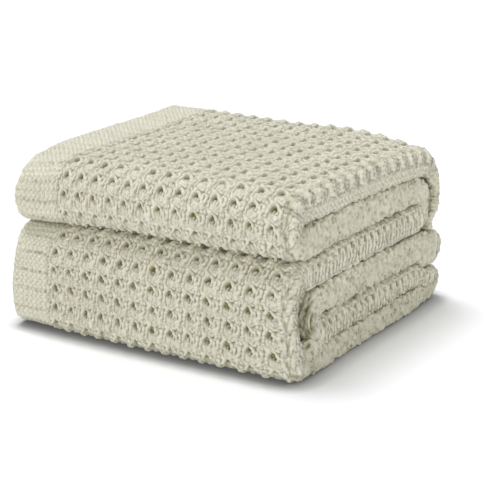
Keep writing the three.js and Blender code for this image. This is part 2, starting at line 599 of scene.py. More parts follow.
@dataclass
class Relief:
    """What the knit does at each point.

    Attributes:
        lift: height over the cloth's face, in mm.
        painted_shade: how much painted shade it gets, the further down in a gap or crease it lies, from 0 to
            1.
        run: mm walked along the yarn.
        side: place across the yarn, from -1 to 1.
    """

    lift: Array
    painted_shade: Array
    run: Array
    side: Array

    def mixed(self, other: "Relief", much: Array) -> "Relief":
        """Go over to another relief.

        Args:
            other: the other relief.
            much: 0 where this relief stays, 1 where the other takes its place.

        Returns:
            The two, blended in height and painted shade; the yarn's run is that of the stronger.
        """
        stronger = much > 0.5
        return Relief(lift=self.lift * (1 - much) + other.lift * much,
                      painted_shade=self.painted_shade * (1 - much) + other.painted_shade * much,
                      run=np.where(stronger, other.run, self.run),
                      side=np.where(stronger, other.side, self.side))


@dataclass
class StitchChart:
    """One repeat of a stitch, drawn as heights from its strands and gaps.

    Attributes:
        name: the stitch.
        width: of a repeat, in mm.
        height: of a repeat, in mm.
        ground: height of the yarn behind the strands, in mm.
        strands: the lengths of yarn that show.
        hollows: the gaps between them.
        full: how much plumper the yarn is than its strands' radii say.
        melt: how softly strands run together, in mm.
        step: size of the chart's cells, in mm.
        repeats: whether the stitch also repeats across.
        knot: height of the swellings along each strand, in mm.
        knot_swell: how much wider the strand is there, as a share.
        knot_length: from one swelling to the next, in mm.
        turn: length of one turn of the yarn's plies, in mm.
        turn_height: how far each ply stands out, in mm.
        turn_slant: how far the plies slant across the yarn, in radians of their turn.
        crease_reach: how far round a point its surroundings count for creases, in mm.
        crease_depth: how far a point lies below them in a full crease, in mm.
        lift, crease, run, side: the drawn repeat: height, creases, which the knit paints as shade, and the
            yarn's run and side.
    """

    name: str
    width: float
    height: float
    ground: float
    strands: tuple[Strand, ...]
    hollows: tuple[Hollow, ...]
    full: float = 1.0
    melt: float = 0.2
    step: float = 0.12
    repeats: bool = True
    knot: float = 0.3
    knot_swell: float = 0.12
    knot_length: float = 5.2
    turn: float = 3.2
    turn_height: float = 0.24
    turn_slant: float = 2.4
    crease_reach: float = 1.3
    crease_depth: float = 0.75
    lift: Array = field(init=False)
    crease: Array = field(init=False)
    run: Array = field(init=False)
    side: Array = field(init=False)

    def __post_init__(self) -> None:
        """Draw the repeat once."""
        columns = int(round(self.width / self.step))
        rows = int(round(self.height / self.step))
        across = (np.arange(columns) / columns)[None, :]
        along = (np.arange(rows) / rows)[:, None]
        ground = np.full((rows, columns), self.ground)
        for gap in self.hollows:
            u = self._apart(across, gap.across, self.repeats) / gap.reach_across
            v = self._apart(along, gap.along, True) / gap.reach_along
            ground = ground + gap.depth * np.exp(-0.55 * (u * u + v * v) ** 1.5)
        total = np.exp(ground / self.melt)
        highest = ground.copy()
        self.run = np.zeros((rows, columns))
        self.side = np.zeros((rows, columns))
        for strand in self.strands:
            top = np.full((rows, columns), NO_YARN)
            way = self._thread(strand.way)
            walked = 0.0
            for number in range(len(way) - 1):
                u = self._apart(across, way[number, 0], self.repeats) * self.width
                v = self._apart(along, way[number, 1], True) * self.height
                gone = u * u + v * v
                swell = math.cos(2 * math.pi * walked / self.knot_length)
                radius = strand.radius * self.full * (1.0 + self.knot_swell * swell)
                height = way[number, 2] + self.knot * swell
                height = height + np.sqrt(np.maximum(radius ** 2 - gone, 0.0)) - radius
                height = np.where(gone < radius ** 2, height, NO_YARN)
                heading = (way[number + 1, :2] - way[number, :2]) * (self.width, self.height)
                pace = max(float(np.hypot(*heading)), 1e-6)
                better = (height > top) & (height > highest)
                self.run = np.where(better, walked, self.run)
                self.side = np.where(better, (u * heading[1] - v * heading[0]) / pace / radius, self.side)
                top = np.maximum(top, height)
                walked += pace
            highest = np.maximum(highest, top)
            total = total + np.exp(top / self.melt)
        self.lift = self.melt * np.log(total)
        on_yarn = smooth_step(highest - ground, 0.1, 0.8)
        turned = 2 * math.pi * self.run / self.turn + self.turn_slant * self.side
        self.lift = self.lift + self.turn_height * on_yarn * np.sin(turned)
        # how far each cell lies below its surroundings, later painted as shade in the creases
        self.crease = np.clip((self._blurred(self.lift) - self.lift) / self.crease_depth, 0.0, 1.0)

    def _blurred(self, values: Array) -> Array:
        """Average each cell with its surroundings, round the repeat's edges.

        Args:
            values: one value for each cell.

        Returns:
            The averages.
        """
        reach = max(1, int(round(self.crease_reach / self.step)))
        for axis in (0, 1, 0, 1):
            values = sum(np.roll(values, shift, axis) for shift in range(-reach, reach + 1)) / (2 * reach + 1)
        return values

    @staticmethod
    def _apart(values: Array, place: float, repeats: bool) -> Array:
        """Measure how far values lie from a place, round the repeat's edges if it repeats.

        Args:
            values: where to measure, in repeats.
            place: where the distance is 0.
            repeats: whether the stitch repeats that way.

        Returns:
            Signed distances, in repeats.
        """
        gap = values - place
        return (gap + 0.5) % 1.0 - 0.5 if repeats else gap

    @staticmethod
    def _thread(way: Way, steps: int = 16) -> Array:
        """Run a smooth line through a strand's places.

        Args:
            way: the places.
            steps: points for each stretch between two places.

        Returns:
            The line's points.
        """
        table = np.array(way)
        table = np.vstack([2 * table[0] - table[1], table, 2 * table[-1] - table[-2]])
        s = np.linspace(0.0, 1.0, steps, endpoint=False)[:, None]
        parts = []
        for number in range(1, len(table) - 2):
            a, b, c, d = table[number - 1:number + 3]
            parts.append(0.5 * (2 * b + (c - a) * s + (2 * a - 5 * b + 4 * c - d) * s ** 2
                                + (3 * b - a - 3 * c + d) * s ** 3))
        return np.vstack(parts + [table[-2][None]])

    def read(self, across: Array, along: Array) -> Relief:
        """Read the stitch anywhere on the cloth.

        Args:
            across: place in repeats.
            along: place in repeats.

        Returns:
            The stitch's relief there.
        """
        rows, columns = self.lift.shape
        u = across % 1.0 if self.repeats else np.clip(across, 0.0, 1.0 - 1.5 / columns)
        u = u * columns
        v = (along % 1.0) * rows
        u0 = np.floor(u).astype(int) % columns
        v0 = np.floor(v).astype(int) % rows
        fu = u - np.floor(u)
        fv = v - np.floor(v)
        u1 = (u0 + 1) % columns
        v1 = (v0 + 1) % rows
        between = []
        for table in (self.lift, self.crease):
            near = table[v0, u0] * (1 - fu) + table[v0, u1] * fu
            far = table[v1, u0] * (1 - fu) + table[v1, u1] * fu
            between.append(near * (1 - fv) + far * fv)
        return Relief(between[0], between[1], self.run[v0, u0], self.side[v0, u0])


def shell_stitch() -> StitchChart:
    """Chart the throw's main stitch: an open eyelet beside a raised pair of legs and a wavy column.

    Returns:
        The chart, one eyelet wide and one row high.
    """
    return StitchChart(
        name="eyelet rib", width=21.2, height=20.0, ground=-.9, full=1.16, melt=.3,
        strands=(
            Strand("eyelet rim", 1.3, (
                (.02, -.27, -.7), (.09, -.215, .2), (.165, -.12, .9), (.205, -.03, .8), (.185, .07, .1),
                (.14, .16, -.7), (.115, .25, -1.5))),
            Strand("shell edge", 1.35, (
                (-.03, .05, -2.4), (-.045, .16, -1.6), (-.04, .29, -.9), (-.02, .41, -.4),
                (.035, .51, -.1), (.12, .575, .2), (.21, .63, .5), (.31, .60, .5), (.40, .52, .5))),
            Strand("left leg", 1.4, (
                (.41, -.20, -.2), (.345, -.17, .2), (.32, -.07, .3), (.335, .05, .5), (.365, .17, .7),
                (.385, .30, .9), (.375, .42, .9), (.345, .52, .6))),
            Strand("right leg", 1.45, (
                (.36, -.20, -.1), (.45, -.20, .3), (.535, -.12, .6), (.56, 0, .7), (.545, .1, .7),
                (.51, .2, .7), (.48, .3, .8), (.47, .45, .6), (.46, .6, .5), (.44, .72, .2),
                (.42, .8, -.1))),
            Strand("shell belly", 2.4, ((.33, .37, .4), (.35, .47, .7), (.36, .57, .4))),
            Strand("shell nub", 2.3, ((.12, .47, -.6), (.24, .54, .1))),
            Strand("wavy column", 1.5, (
                (-.33, .40, .3), (-.295, .5, .4), (-.235, .58, .5), (-.185, .66, .6), (-.165, .76, .9),
                (-.2, .84, 1.1), (-.235, .92, 1.0), (-.25, 1.0, .6), (-.28, 1.1, .4), (-.295, 1.22, .3),
                (-.315, 1.32, .3), (-.33, 1.40, .3))),
            Strand("column's inner leg", 1.3, (
                (-.13, .42, -.9), (-.105, .52, -.5), (-.10, .62, -.4), (-.125, .72, -.3))),
            Strand("column's back", 1.6, (
                (-.42, -.1, -.6), (-.44, .15, -.3), (-.43, .4, -.3), (-.42, .65, -.5), (-.42, .9, -.6))),
        ),
        hollows=(
            Hollow(.015, -.015, .13, .145, -8.0), Hollow(.045, .14, .035, .06, -1.6),
            Hollow(-.12, .18, .03, .08, -.6), Hollow(.26, .255, .045, .05, -1.0),
            Hollow(.22, -.27, .12, .04, -1.6), Hollow(.05, -.335, .06, .028, -1.0),
            Hollow(.45, -.02, .025, .06, -.5), Hollow(-.31, -.21, .045, .045, -.8),
            Hollow(-.38, -.40, .05, .09, -.8), Hollow(.17, .42, .06, .06, -.5),
        ))


def jersey_stitch() -> StitchChart:
    """Chart the border's fine plain stitch, columns of small V shapes.

    Returns:
        The chart, one V wide and one V high.
    """
    return StitchChart(
        name="border jersey", width=5.8, height=6.83, ground=-1.15, melt=.2, step=.1, knot=0.0,
        turn_height=.1, crease_reach=.8,
        strands=(
            Strand("left leg", 1.15, (
                (-.50, -.52, -.7), (-.38, -.25, .1), (-.18, .12, .3), (-.03, .42, -.6))),
            Strand("right leg", 1.15, ((.50, -.52, -.7), (.38, -.25, .1), (.18, .12, .3), (.03, .42, -.6))),
        ),
        hollows=())


def rib_stitch() -> StitchChart:
    """Chart the wide ribs that roll over the +X fold's outer corner; a plain lip covers them beyond 0.6.

    Returns:
        The chart, one row high and as wide as the fold.
    """
    return StitchChart(
        name="fold ribs", width=46.0, height=20.5, ground=-1.6, repeats=False, step=.14,
        strands=(
            Strand("wide rib", 3.6, (
                (-.1, .50, .6), (.06, .49, 1.2), (.20, .50, 1.3), (.34, .52, .9), (.44, .54, .2))),
            Strand("rib's edge yarn", 1.5, (
                (-.1, .35, .2), (.06, .33, .8), (.22, .34, 1.0), (.38, .38, .6), (.52, .42, .1))),
            Strand("upper thin strand", 1.25, (
                (-.08, .83, .0), (.08, .81, .7), (.26, .78, .8), (.42, .76, .4), (.56, .74, .0))),
            Strand("lower thin strand", 1.25, (
                (-.06, .20, .0), (.08, .19, .5), (.24, .20, .7), (.4, .23, .4), (.54, .25, .0))),
            Strand("crossing strand", 1.15, (
                (.0, .09, -.5), (.12, .03, .1), (.26, -.03, .3), (.40, -.08, .1), (.54, -.10, -.1))),
        ),
        hollows=(
            Hollow(.04, .0, .08, .07, -4.4), Hollow(.20, .12, .12, .03, -2.6),
            Hollow(.42, .07, .08, .04, -2.4), Hollow(.16, .68, .14, .035, -2.6),
            Hollow(.42, .65, .09, .03, -2.2), Hollow(.3, .28, .12, .02, -1.4),
            Hollow(.34, -.14, .10, .025, -2.0), Hollow(.53, .12, .03, .08, -1.4),
            Hollow(.53, .62, .03, .10, -1.0),
        ))


def fine_rib_stitch() -> StitchChart:
    """Chart the twisted ribs on the inner runs' +X fold, from its outer corner at 0 to its inner one.

    Returns:
        The chart, one rib high and as wide as the fold.
    """
    return StitchChart(
        name="inner fold ribs", width=37.0, height=12.8, ground=-.9, repeats=False, step=.14, knot=.2,
        turn_height=.12,
        strands=(
            Strand("first yarn", 1.9, (
                (-.1, .27, .2), (.2, .31, .4), (.33, .37, .7), (.46, .31, .9), (.6, .25, .9),
                (.72, .28, .6), (.84, .26, .0))),
            Strand("second yarn", 1.9, (
                (-.1, .75, .2), (.2, .70, .4), (.33, .63, .6), (.46, .70, .8), (.6, .76, .9),
                (.72, .76, .6), (.84, .75, .0))),
            Strand("tie over the hole", 1.5, ((.19, -.2, .1), (.18, .1, .3), (.2, .4, .1))),
            Strand("foot", 6.0, ((.94, -.3, .1), (.93, .2, .3), (.94, .7, .1), (.94, 1.2, .3))),
        ),
        hollows=(
            Hollow(.33, .0, .075, .19, -4.6), Hollow(.52, .01, .07, .06, -2.4),
            Hollow(.66, .02, .05, .12, -2.0), Hollow(.44, .50, .10, .05, -1.6),
            Hollow(.74, .52, .05, .14, -2.6),
        ))


def braid_stitch() -> StitchChart:
    """Chart the chain of long loops down the rim of each nose at +X, with thin strands beside it.

    Returns:
        The chart, one loop high and as wide as the fold.
    """
    return StitchChart(
        name="nose braid", width=46.0, height=20.5, ground=-1.5, repeats=False, step=.14, knot=.2,
        strands=(
            Strand("outer strand", 1.7, (
                (.075, -.2, .1), (.06, .1, .5), (.075, .4, .3), (.09, .7, .1), (.075, 1.0, .4))),
            Strand("long loop", 4.4, (
                (.345, -.10, -1.6), (.32, .05, .2), (.29, .30, 1.0), (.27, .55, .9), (.25, .78, .1),
                (.235, .92, -1.4))),
            Strand("loop's far side", 2.3, (
                (.41, -.10, .1), (.40, .20, .7), (.37, .50, .5), (.36, .80, .0), (.385, 1.0, .1))),
            Strand("inner strand", 2.0, (
                (.50, -.3, .4), (.46, .0, .7), (.44, .3, .2), (.47, .6, .6), (.50, .9, .3))),
            Strand("second inner strand", 2.2, (
                (.60, -.2, .3), (.57, .2, .6), (.60, .6, .2), (.59, 1.0, .5))),
            Strand("last inner strand", 2.4, (
                (.72, -.2, .4), (.74, .2, .2), (.71, .6, .6), (.73, 1.0, .3))),
        ),
        hollows=(
            Hollow(.14, .45, .022, .34, -1.9), Hollow(.31, .95, .07, .06, -1.3),
            Hollow(.20, .02, .05, .07, -1.2), Hollow(.52, .45, .02, .2, -1.6),
        ))


@dataclass(frozen=True)
class Swell:
    """A soft rise or dip of the cloth in every repeat.

    Attributes:
        name: what it is.
        across, along: its place, in repeats.
        reach_across, reach_along: how far it reaches, in repeats.
        height: how far it lifts the cloth, in mm.
    """

    name: str
    across: float
    along: float
    reach_across: float
    reach_along: float
    height: float


SWELLS = (
    #     name                    across along  reach       height
    Swell("shell belly",           0.36,  0.42,  0.22, 0.24,  1.4),
    Swell("column crest",         -0.20,  0.88,  0.15, 0.20,  1.0),
    Swell("dip round the eyelet",  0.00, -0.03,  0.20, 0.22, -0.9),
    Swell("dip below the shell",   0.32, -0.22,  0.20, 0.12, -0.9),
    Swell("dip of the column",    -0.22,  0.34,  0.14, 0.15, -0.8),
    Swell("rise of the ribs",      0.46,  0.00,  0.12, 5.00,  0.7),
    Swell("rise of the columns",  -0.24,  0.00,  0.09, 5.00,  0.5),
    Swell("valley by the ribs",    0.66,  0.00,  0.07, 5.00, -0.5),
)


@dataclass(frozen=True)
class ClothPlaces:
    """Where each point of a piece lies on the cloth.

    Attributes:
        across: mm walked across the cloth.
        arc: mm walked along the strip.
        course: rows of eyelets passed.
    """

    across: Array
    arc: Array
    course: Array

    def noise(self, size: float, seed: int) -> Array:
        """Soft random values over the cloth, by their size in mm and their set."""
        return soft_noise(self.across, self.arc, size, seed)

    def wander(self, values: Array, *waves: Wave) -> Array:
        """Let values wander softly over the cloth, by waves."""
        return wandered(values, self.across, self.arc, *waves)


@dataclass
class ThrowKnit:
    """The throw's knit: which stitch shows where on the cloth.

    A wave is a soft random change: how much it moves, its size in mm and its set of random values.

    Attributes:
        columns: steps from the first column of eyelets to the last.
        spread: how much closer the columns stand near the border than in the middle, as a share.
        row: height of a row of eyelets when flat, in mm.
        uneven: how much an eyelet's depth changes from one to the next, as a share.
        eyelet: height below which a gap counts as an eyelet, in mm.
        deepest: how far a gap may go in, in mm.
        closing: how far the eyelets close up where the cloth lies flat on top, as a share.
        opening: how far they open where the cloth is stretched round the wrap, as a share.
        border_gap: from the first column of eyelets to the border's edge, in mm.
        border_plump: how much higher the border's stitches stand than their chart.
        border_crease: how strong the painted shade in the border's creases is, against its chart.
        border_row: reach of the border's rows of pits, in rows of eyelets.
        border_pit: depth of those pits, in mm.
        chain: height of the chain of stitches along the border's edge, in mm.
        chain_reach: half its width, in mm.
        groove: depth of the groove beside the chain, in mm.
        groove_gap: from the chain to the groove, in mm.
        fold_gap: from the last column of eyelets to the +X fold's ribs, in mm.
        fold_from, fold_to: from that column to where the main stitch fades and where it ends, in mm.
        nose_gap: how much further out it goes on a nose, in mm.
        lip: where the wide ribs go over to the plain lip, from and to, as shares of the fold.
        painted_cavity_shade: how much painted shade the cloth gets inside the wrap's cavity, in parts of a
            full crease's.
        crease: how strong the painted shade in the creases between strands is, against the fullest shade of
            the gaps.
        gap_from, gap_to: depth where painted shade in a gap starts and where it is fullest, in mm.
        knot_across: from one knot of the cloth's back to the next round the +X fold, in mm.
        knot_along: from one to the next along the strip, in mm.
        course_waves: how the rows wander, in rows.
        column_waves: how the columns wander, in columns.
        surface_waves: how the yarn's surface wanders, in mm.
        shell, jersey, ribs, fine_ribs, braid: the stitches.
    """

    columns: int = 12
    spread: float = 0.11
    row: float = 20.5
    uneven: float = 0.55
    eyelet: float = -1.2
    deepest: float = 4.8
    closing: float = 0.52
    opening: float = 0.5
    border_gap: float = 8.5
    border_plump: float = 1.15
    border_crease: float = 0.45
    border_row: float = 0.105
    border_pit: float = 1.7
    chain: float = 1.3
    chain_reach: float = 2.0
    groove: float = 1.2
    groove_gap: float = 4.2
    fold_gap: float = 8.0
    fold_from: float = 5.5
    fold_to: float = 10.0
    nose_gap: float = 4.0
    lip: tuple[float, float] = (0.50, 0.64)
    painted_cavity_shade: float = 1.1
    crease: float = 0.46
    gap_from: float = 1.6
    gap_to: float = 4.4
    knot_across: float = 5.6
    knot_along: float = 3.8
    course_waves: tuple[Wave, ...] = ((0.055, 31.0, 2), (0.035, 12.0, 3), (0.03, 6.0, 35))
    column_waves: tuple[Wave, ...] = ((0.05, 26.0, 4), (0.035, 11.0, 5), (0.025, 6.0, 36))
    surface_waves: tuple[Wave, ...] = ((0.3, 1.8, 8), (0.2, 0.9, 10), (0.3, 5.0, 9))
    shell: StitchChart = field(default_factory=shell_stitch)
    jersey: StitchChart = field(default_factory=jersey_stitch)
    ribs: StitchChart = field(default_factory=rib_stitch)
    fine_ribs: StitchChart = field(default_factory=fine_rib_stitch)
    braid: StitchChart = field(default_factory=braid_stitch)

    def read(self, outline: Outline, stations: Stations, facing: Facing) -> Relief:
        """Work out the knit's relief for a piece.

        Args:
            outline: the piece's points.
            stations: the stations they stand on.
            facing: the part of the outline.

        Returns:
            The relief at each point.
        """
        across = outline.across
        arc = stations.arc[:, None] + 0.0 * across
        course = wandered(stations.course[:, None], across, arc, *self.course_waves)
        cloth = ClothPlaces(across, arc, course)
        first, last = stations.first[:, None], stations.last[:, None]
        place = (across - first) / (last - first)
        column = (place + self.spread * place * (1.0 - place)) * self.columns
        knit = self._body(cloth.wander(column, *self.column_waves), course)
        opened = 1.0 - self.closing * stations.ribs[:, None]
        opened = opened + self.opening * smooth_step(stations.braid[:, None], 0.7, 1.0)
        knit.lift = np.where(knit.lift < self.eyelet,
                             self.eyelet + (knit.lift - self.eyelet) * opened, knit.lift)

        edge = first - self.border_gap
        if facing in (Facing.FIRST_EDGE, Facing.SECOND_EDGE, Facing.TURN):
            in_border, plain = np.ones(across.shape), self._stretched(cloth)
        else:
            in_border, plain = 1.0 - smooth_step(across, edge - 1.6, edge + 1.2), self._border(cloth)
        knit = knit.mixed(plain, in_border)
        links = 0.8 + 0.2 * np.cos(2 * np.pi * course * 5)
        chain = self.chain * np.exp(-((across - edge) / self.chain_reach) ** 2) * links
        groove = self.groove * np.exp(-((across - edge + self.groove_gap) / 1.2) ** 2)
        knit.lift = knit.lift + chain - groove

        if facing in (Facing.FOLD, Facing.OUTER, Facing.INNER):
            noses = self.nose_gap * stations.braid[:, None]
            on_fold = smooth_step(across, last + self.fold_from + noses, last + self.fold_to + noses)
            knit = knit.mixed(self._fold_band(outline, stations, cloth, facing), on_fold)

        specks = scattered_specks(across, arc, 4.6, 5.2, 7) * (1.0 - 0.8 * in_border)
        knit.lift = knit.lift - specks
        # painted shade: creases, specks and low gaps darken the yarn's colour
        knit.painted_shade = self.crease * (knit.painted_shade + 0.5 * specks) * (1.0 + 0.6 * cloth.noise(2.6, 11))
        knit.painted_shade = np.maximum(smooth_step(-knit.lift, self.gap_from, self.gap_to), knit.painted_shade)
        knit.lift = np.maximum(knit.lift, -self.deepest) - outline.sunk
        knit.lift = cloth.wander(knit.lift, *self.surface_waves)
        return knit

    def _body(self, column: Array, course: Array) -> Relief:
        """Read the main stitch, uneven from one repeat to the next.

        Args:
            column: columns of eyelets passed.
            course: rows of eyelets passed.

        Returns:
            The relief at each point.
        """
        knit = self.shell.read(column, course)
        uneven = soft_noise(np.rint(column) * 7.0, np.rint(course) * 7.0, 7.0, 6)
        knit.lift = np.where(knit.lift < self.eyelet,
                             self.eyelet + (knit.lift - self.eyelet) * (0.9 + self.uneven * uneven),
                             knit.lift * (1.0 + 0.12 * uneven))
        for swell in SWELLS:
            u = ((column - swell.across + 0.5) % 1.0 - 0.5) / swell.reach_across
            v = ((course - swell.along + 0.5) % 1.0 - 0.5) / swell.reach_along
            knit.lift = knit.lift + swell.height * (1.0 + 0.3 * uneven) * np.exp(-u * u - v * v)
        return knit

    def _border(self, cloth: ClothPlaces) -> Relief:
        """Read the border's fine plain stitch, with its rows of small pits and painted shade in them.

        Args:
            cloth: where the points lie on the cloth.

        Returns:
            The relief at each point.
        """
        plain = self._jersey(cloth, (0.05, 9.0, 13), (0.08, 9.0, 14))
        waved = (cloth.course + 0.25 + 0.1 * cloth.noise(30.0, 15)) % 1.0
        pitted = np.exp(-((waved - 0.5) / self.border_row) ** 2)
        pits = scattered_specks(cloth.across, cloth.arc, 5.2, 5.0, 41) * pitted
        plain.lift = self.border_plump * plain.lift + 0.35 * np.cos(2 * np.pi * (waved + 0.5))
        plain.lift = plain.lift - 0.6 * pitted - self.border_pit * pits
        # painted shade in the creases, the rows of pits and the pits themselves, a little less all over the
        # border
        plain.painted_shade = self.border_crease * plain.painted_shade + 0.35 * pitted + 1.4 * pits - 0.1
        return plain

    def _stretched(self, cloth: ClothPlaces) -> Relief:
        """Read the cloth where it is stretched round a side edge, in slanting lines.

        Args:
            cloth: where the points lie on the cloth.

        Returns:
            The relief at each point.
        """
        plain = self._jersey(cloth, (0.05, 9.0, 13), (0.08, 9.0, 14))
        slant = 2 * np.pi * (cloth.arc / 5.0 + cloth.across / 14.0)
        lines = 0.45 * np.sin(slant + cloth.noise(14.0, 16))
        # painted shade in the troughs between the slanting lines
        return Relief(lines + 0.5 * cloth.noise(4.0, 17), 0.35 - 0.5 * lines, plain.run, plain.side)

    def _jersey(self, cloth: ClothPlaces, column_wave: Wave, row_wave: Wave) -> Relief:
        """Read the plain stitch, with columns and rows that wander.

        Args:
            cloth: where the points lie on the cloth.
            column_wave: how its columns wander.
            row_wave: how its rows wander.

        Returns:
            The relief at each point.
        """
        return self.jersey.read(cloth.wander(cloth.across / self.jersey.width, column_wave),
                                cloth.wander(cloth.course * self.row / self.jersey.height, row_wave))

    def _fold_band(self, outline: Outline, stations: Stations, cloth: ClothPlaces,
                   facing: Facing) -> Relief:
        """Read what the +X fold shows: ribs on some runs, the cloth's back on others, loops on the noses.

        Args:
            outline: the piece's points.
            stations: the stations they stand on.
            cloth: where the points lie on the cloth.
            facing: the part of the outline.

        Returns:
            The relief at each point.
        """
        across, course = cloth.across, cloth.course
        share = (across - stations.last[:, None] - self.fold_gap) / self.ribs.width
        share = np.clip(cloth.wander(share, (0.012, 14.0, 21)), 0.0, 1.0)
        uneven = 0.09 * cloth.noise(9.0, 22)
        plain = self._knots(across, course * self.row)

        wide = self.ribs.read(share, course + uneven)
        wide.lift = wide.lift + 0.2 * plain.lift
        lip = self._jersey(cloth, (0.06, 9.0, 38), (0.1, 9.0, 39))
        lip.lift = 0.8 * lip.lift + 0.35 * plain.lift + 0.3
        wide = wide.mixed(lip, smooth_step(cloth.wander(share, (0.03, 12.0, 40)), *self.lip))

        fine_share = (across - HALF_WIDTH + stations.corner[:, None]) / self.fine_ribs.width
        fine = self.fine_ribs.read(np.clip(cloth.wander(fine_share, (0.02, 9.0, 24)), 0.0, 1.0),
                                   course * self.row / self.fine_ribs.height + 0.8 * uneven)
        fine.lift = 0.85 * (fine.lift + 0.25 * plain.lift) * (1.0 + 0.35 * cloth.noise(24.0, 30))

        braid = self.braid.read(np.clip(cloth.wander(share, (0.03, 8.0, 25)), 0.0, 1.0),
                                cloth.wander(course, (0.3, 26.0, 26), (0.06, 7.0, 37)))
        braid.lift = 0.95 * braid.lift + 0.22 * plain.lift
        braid = plain.mixed(braid, np.clip(0.85 + 0.25 * cloth.noise(16.0, 27), 0.0, 1.0))

        end = 1.0 - smooth_step(outline.share, 0.9, 1.0)
        ribs = wide.mixed(fine, stations.fine[:, None] + 0.0 * across)
        band = plain.mixed(ribs, stations.ribs[:, None] * end).mixed(braid, stations.braid[:, None] * end)
        if facing is Facing.FOLD:
            brink = sum(np.exp(-((outline.share - rim) / 0.10) ** 2) for rim in (0.06, 0.94))
            ragged = cloth.noise(4.6, 31)
            band.lift = band.lift + brink * (0.1 + 1.2 * ragged)
            # painted shade in the creases along the fold's two rims, patchier where the rim stands out
            band.painted_shade = band.painted_shade + brink * (0.4 - 0.6 * ragged)
        # painted shade inside the wrap's cavity, on the lining and the side of the inner nose that faces it
        painted_cavity_shade = smooth_step((stations.braid * stations.fine)[:, None], 0.3, 0.5)
        painted_cavity_shade = painted_cavity_shade * (1.0 if facing is Facing.INNER else smooth_step(outline.share, 0.5, 0.8))
        band.painted_shade = band.painted_shade + self.painted_cavity_shade * painted_cavity_shade * (0.8 + 0.4 * cloth.noise(6.0, 42))
        return band

    def _knots(self, across: Array, along: Array) -> Relief:
        """Read the small uneven knots of the cloth's back, with pits between some of them and painted shade
        in the pits.

        Args:
            across: mm walked across the cloth.
            along: mm walked along it.

        Returns:
            The relief at each point.
        """
        drawn = across * self.knot_along / self.knot_across + 0.35 * along
        pits = scattered_specks(drawn, along, self.knot_along, self.knot_along, 28)
        u = wandered(0.5 * across / self.knot_across, across, along, (0.2, 9.0, 33))
        v = wandered(along / self.knot_along, across, along, (0.2, 8.0, 34))
        rounds = np.cos(2 * np.pi * u) * np.cos(2 * np.pi * v)
        bumps = wandered(0.5 * rounds, drawn, along, (0.9, 2.4, 29), (0.7, 1.5, 32))
        # painted shade in the pits between the knots
        return Relief(lift=0.9 * bumps - 2.0 * pits, painted_shade=1.5 * pits, run=along + 2.0 * across,
                      side=0.0 * across)


# ---------------------------------------------------------------- how the stack has settled


@dataclass(frozen=True)
class Settle:
    """A soft swell or sag of the folded throw.

    Attributes:
        name: what it is.
        x, y, z: where it is, in mm.
        reach_x, reach_y, reach_z: how far it reaches, in mm.
        move_x, move_y, move_z: how far it moves what is there, in mm.
    """

    name: str
    x: float
    y: float
    z: float
    reach_x: float
    reach_y: float
    reach_z: float
    move_x: float
    move_y: float
    move_z: float


@dataclass(frozen=True)
class SettledStack:
    """The swells and sags together.

    Attributes:
        settles: the swells and sags.
        floor_fade: height over which what moves up or down fades out towards the floor, in mm.
    """

    settles: tuple[Settle, ...]
    floor_fade: float = 26.0

    def move(self, points: Array) -> Array:
        """Move points with the stack.

        Args:
            points: places in mm, any shape with X, Y and Z last.

        Returns:
            The moved places.
        """
        moved = points.copy()
        fade = smooth_step(points[..., 2], 0.0, self.floor_fade)
        for settle in self.settles:
            near = np.exp(-0.5 * (((points[..., 0] - settle.x) / settle.reach_x) ** 2
                                  + ((points[..., 1] - settle.y) / settle.reach_y) ** 2
                                  + ((points[..., 2] - settle.z) / settle.reach_z) ** 2))
            moved[..., 0] += settle.move_x * near
            moved[..., 1] += settle.move_y * near
            moved[..., 2] += settle.move_z * near * fade
        moved[..., 2] = np.maximum(moved[..., 2], 0.0)
        return moved


# ---------------------------------------------------------------- meshes


def add_node(tree: bpy.types.NodeTree, kind: str, settings: Optional[dict] = None,
             links: Optional[dict] = None) -> bpy.types.Node:
    """Add a node with its settings and links.

    Args:
        tree: the node tree.
        kind: the node's type.
        settings: property names, or input names or numbers, with their values.
        links: input names or numbers with the output that feeds each, or a node for its first one.

    Returns:
        The node.
    """
    node = tree.nodes.new(kind)
    for key, value in (settings or {}).items():
        if isinstance(key, str) and hasattr(node, key):
            setattr(node, key, value)
        else:
            node.inputs[key].default_value = value
    for key, source in (links or {}).items():
        output = source.outputs[0] if isinstance(source, bpy.types.Node) else source
        tree.links.new(output, node.inputs[key])
    return node


def empty_material(name: str) -> bpy.types.Material:
    """Make a material whose node tree is still empty.

    Args:
        name: the real material's name.

    Returns:
        The material.
    """
    material = bpy.data.materials.new(name)
    material.use_nodes = True
    material.node_tree.nodes.clear()
    return material


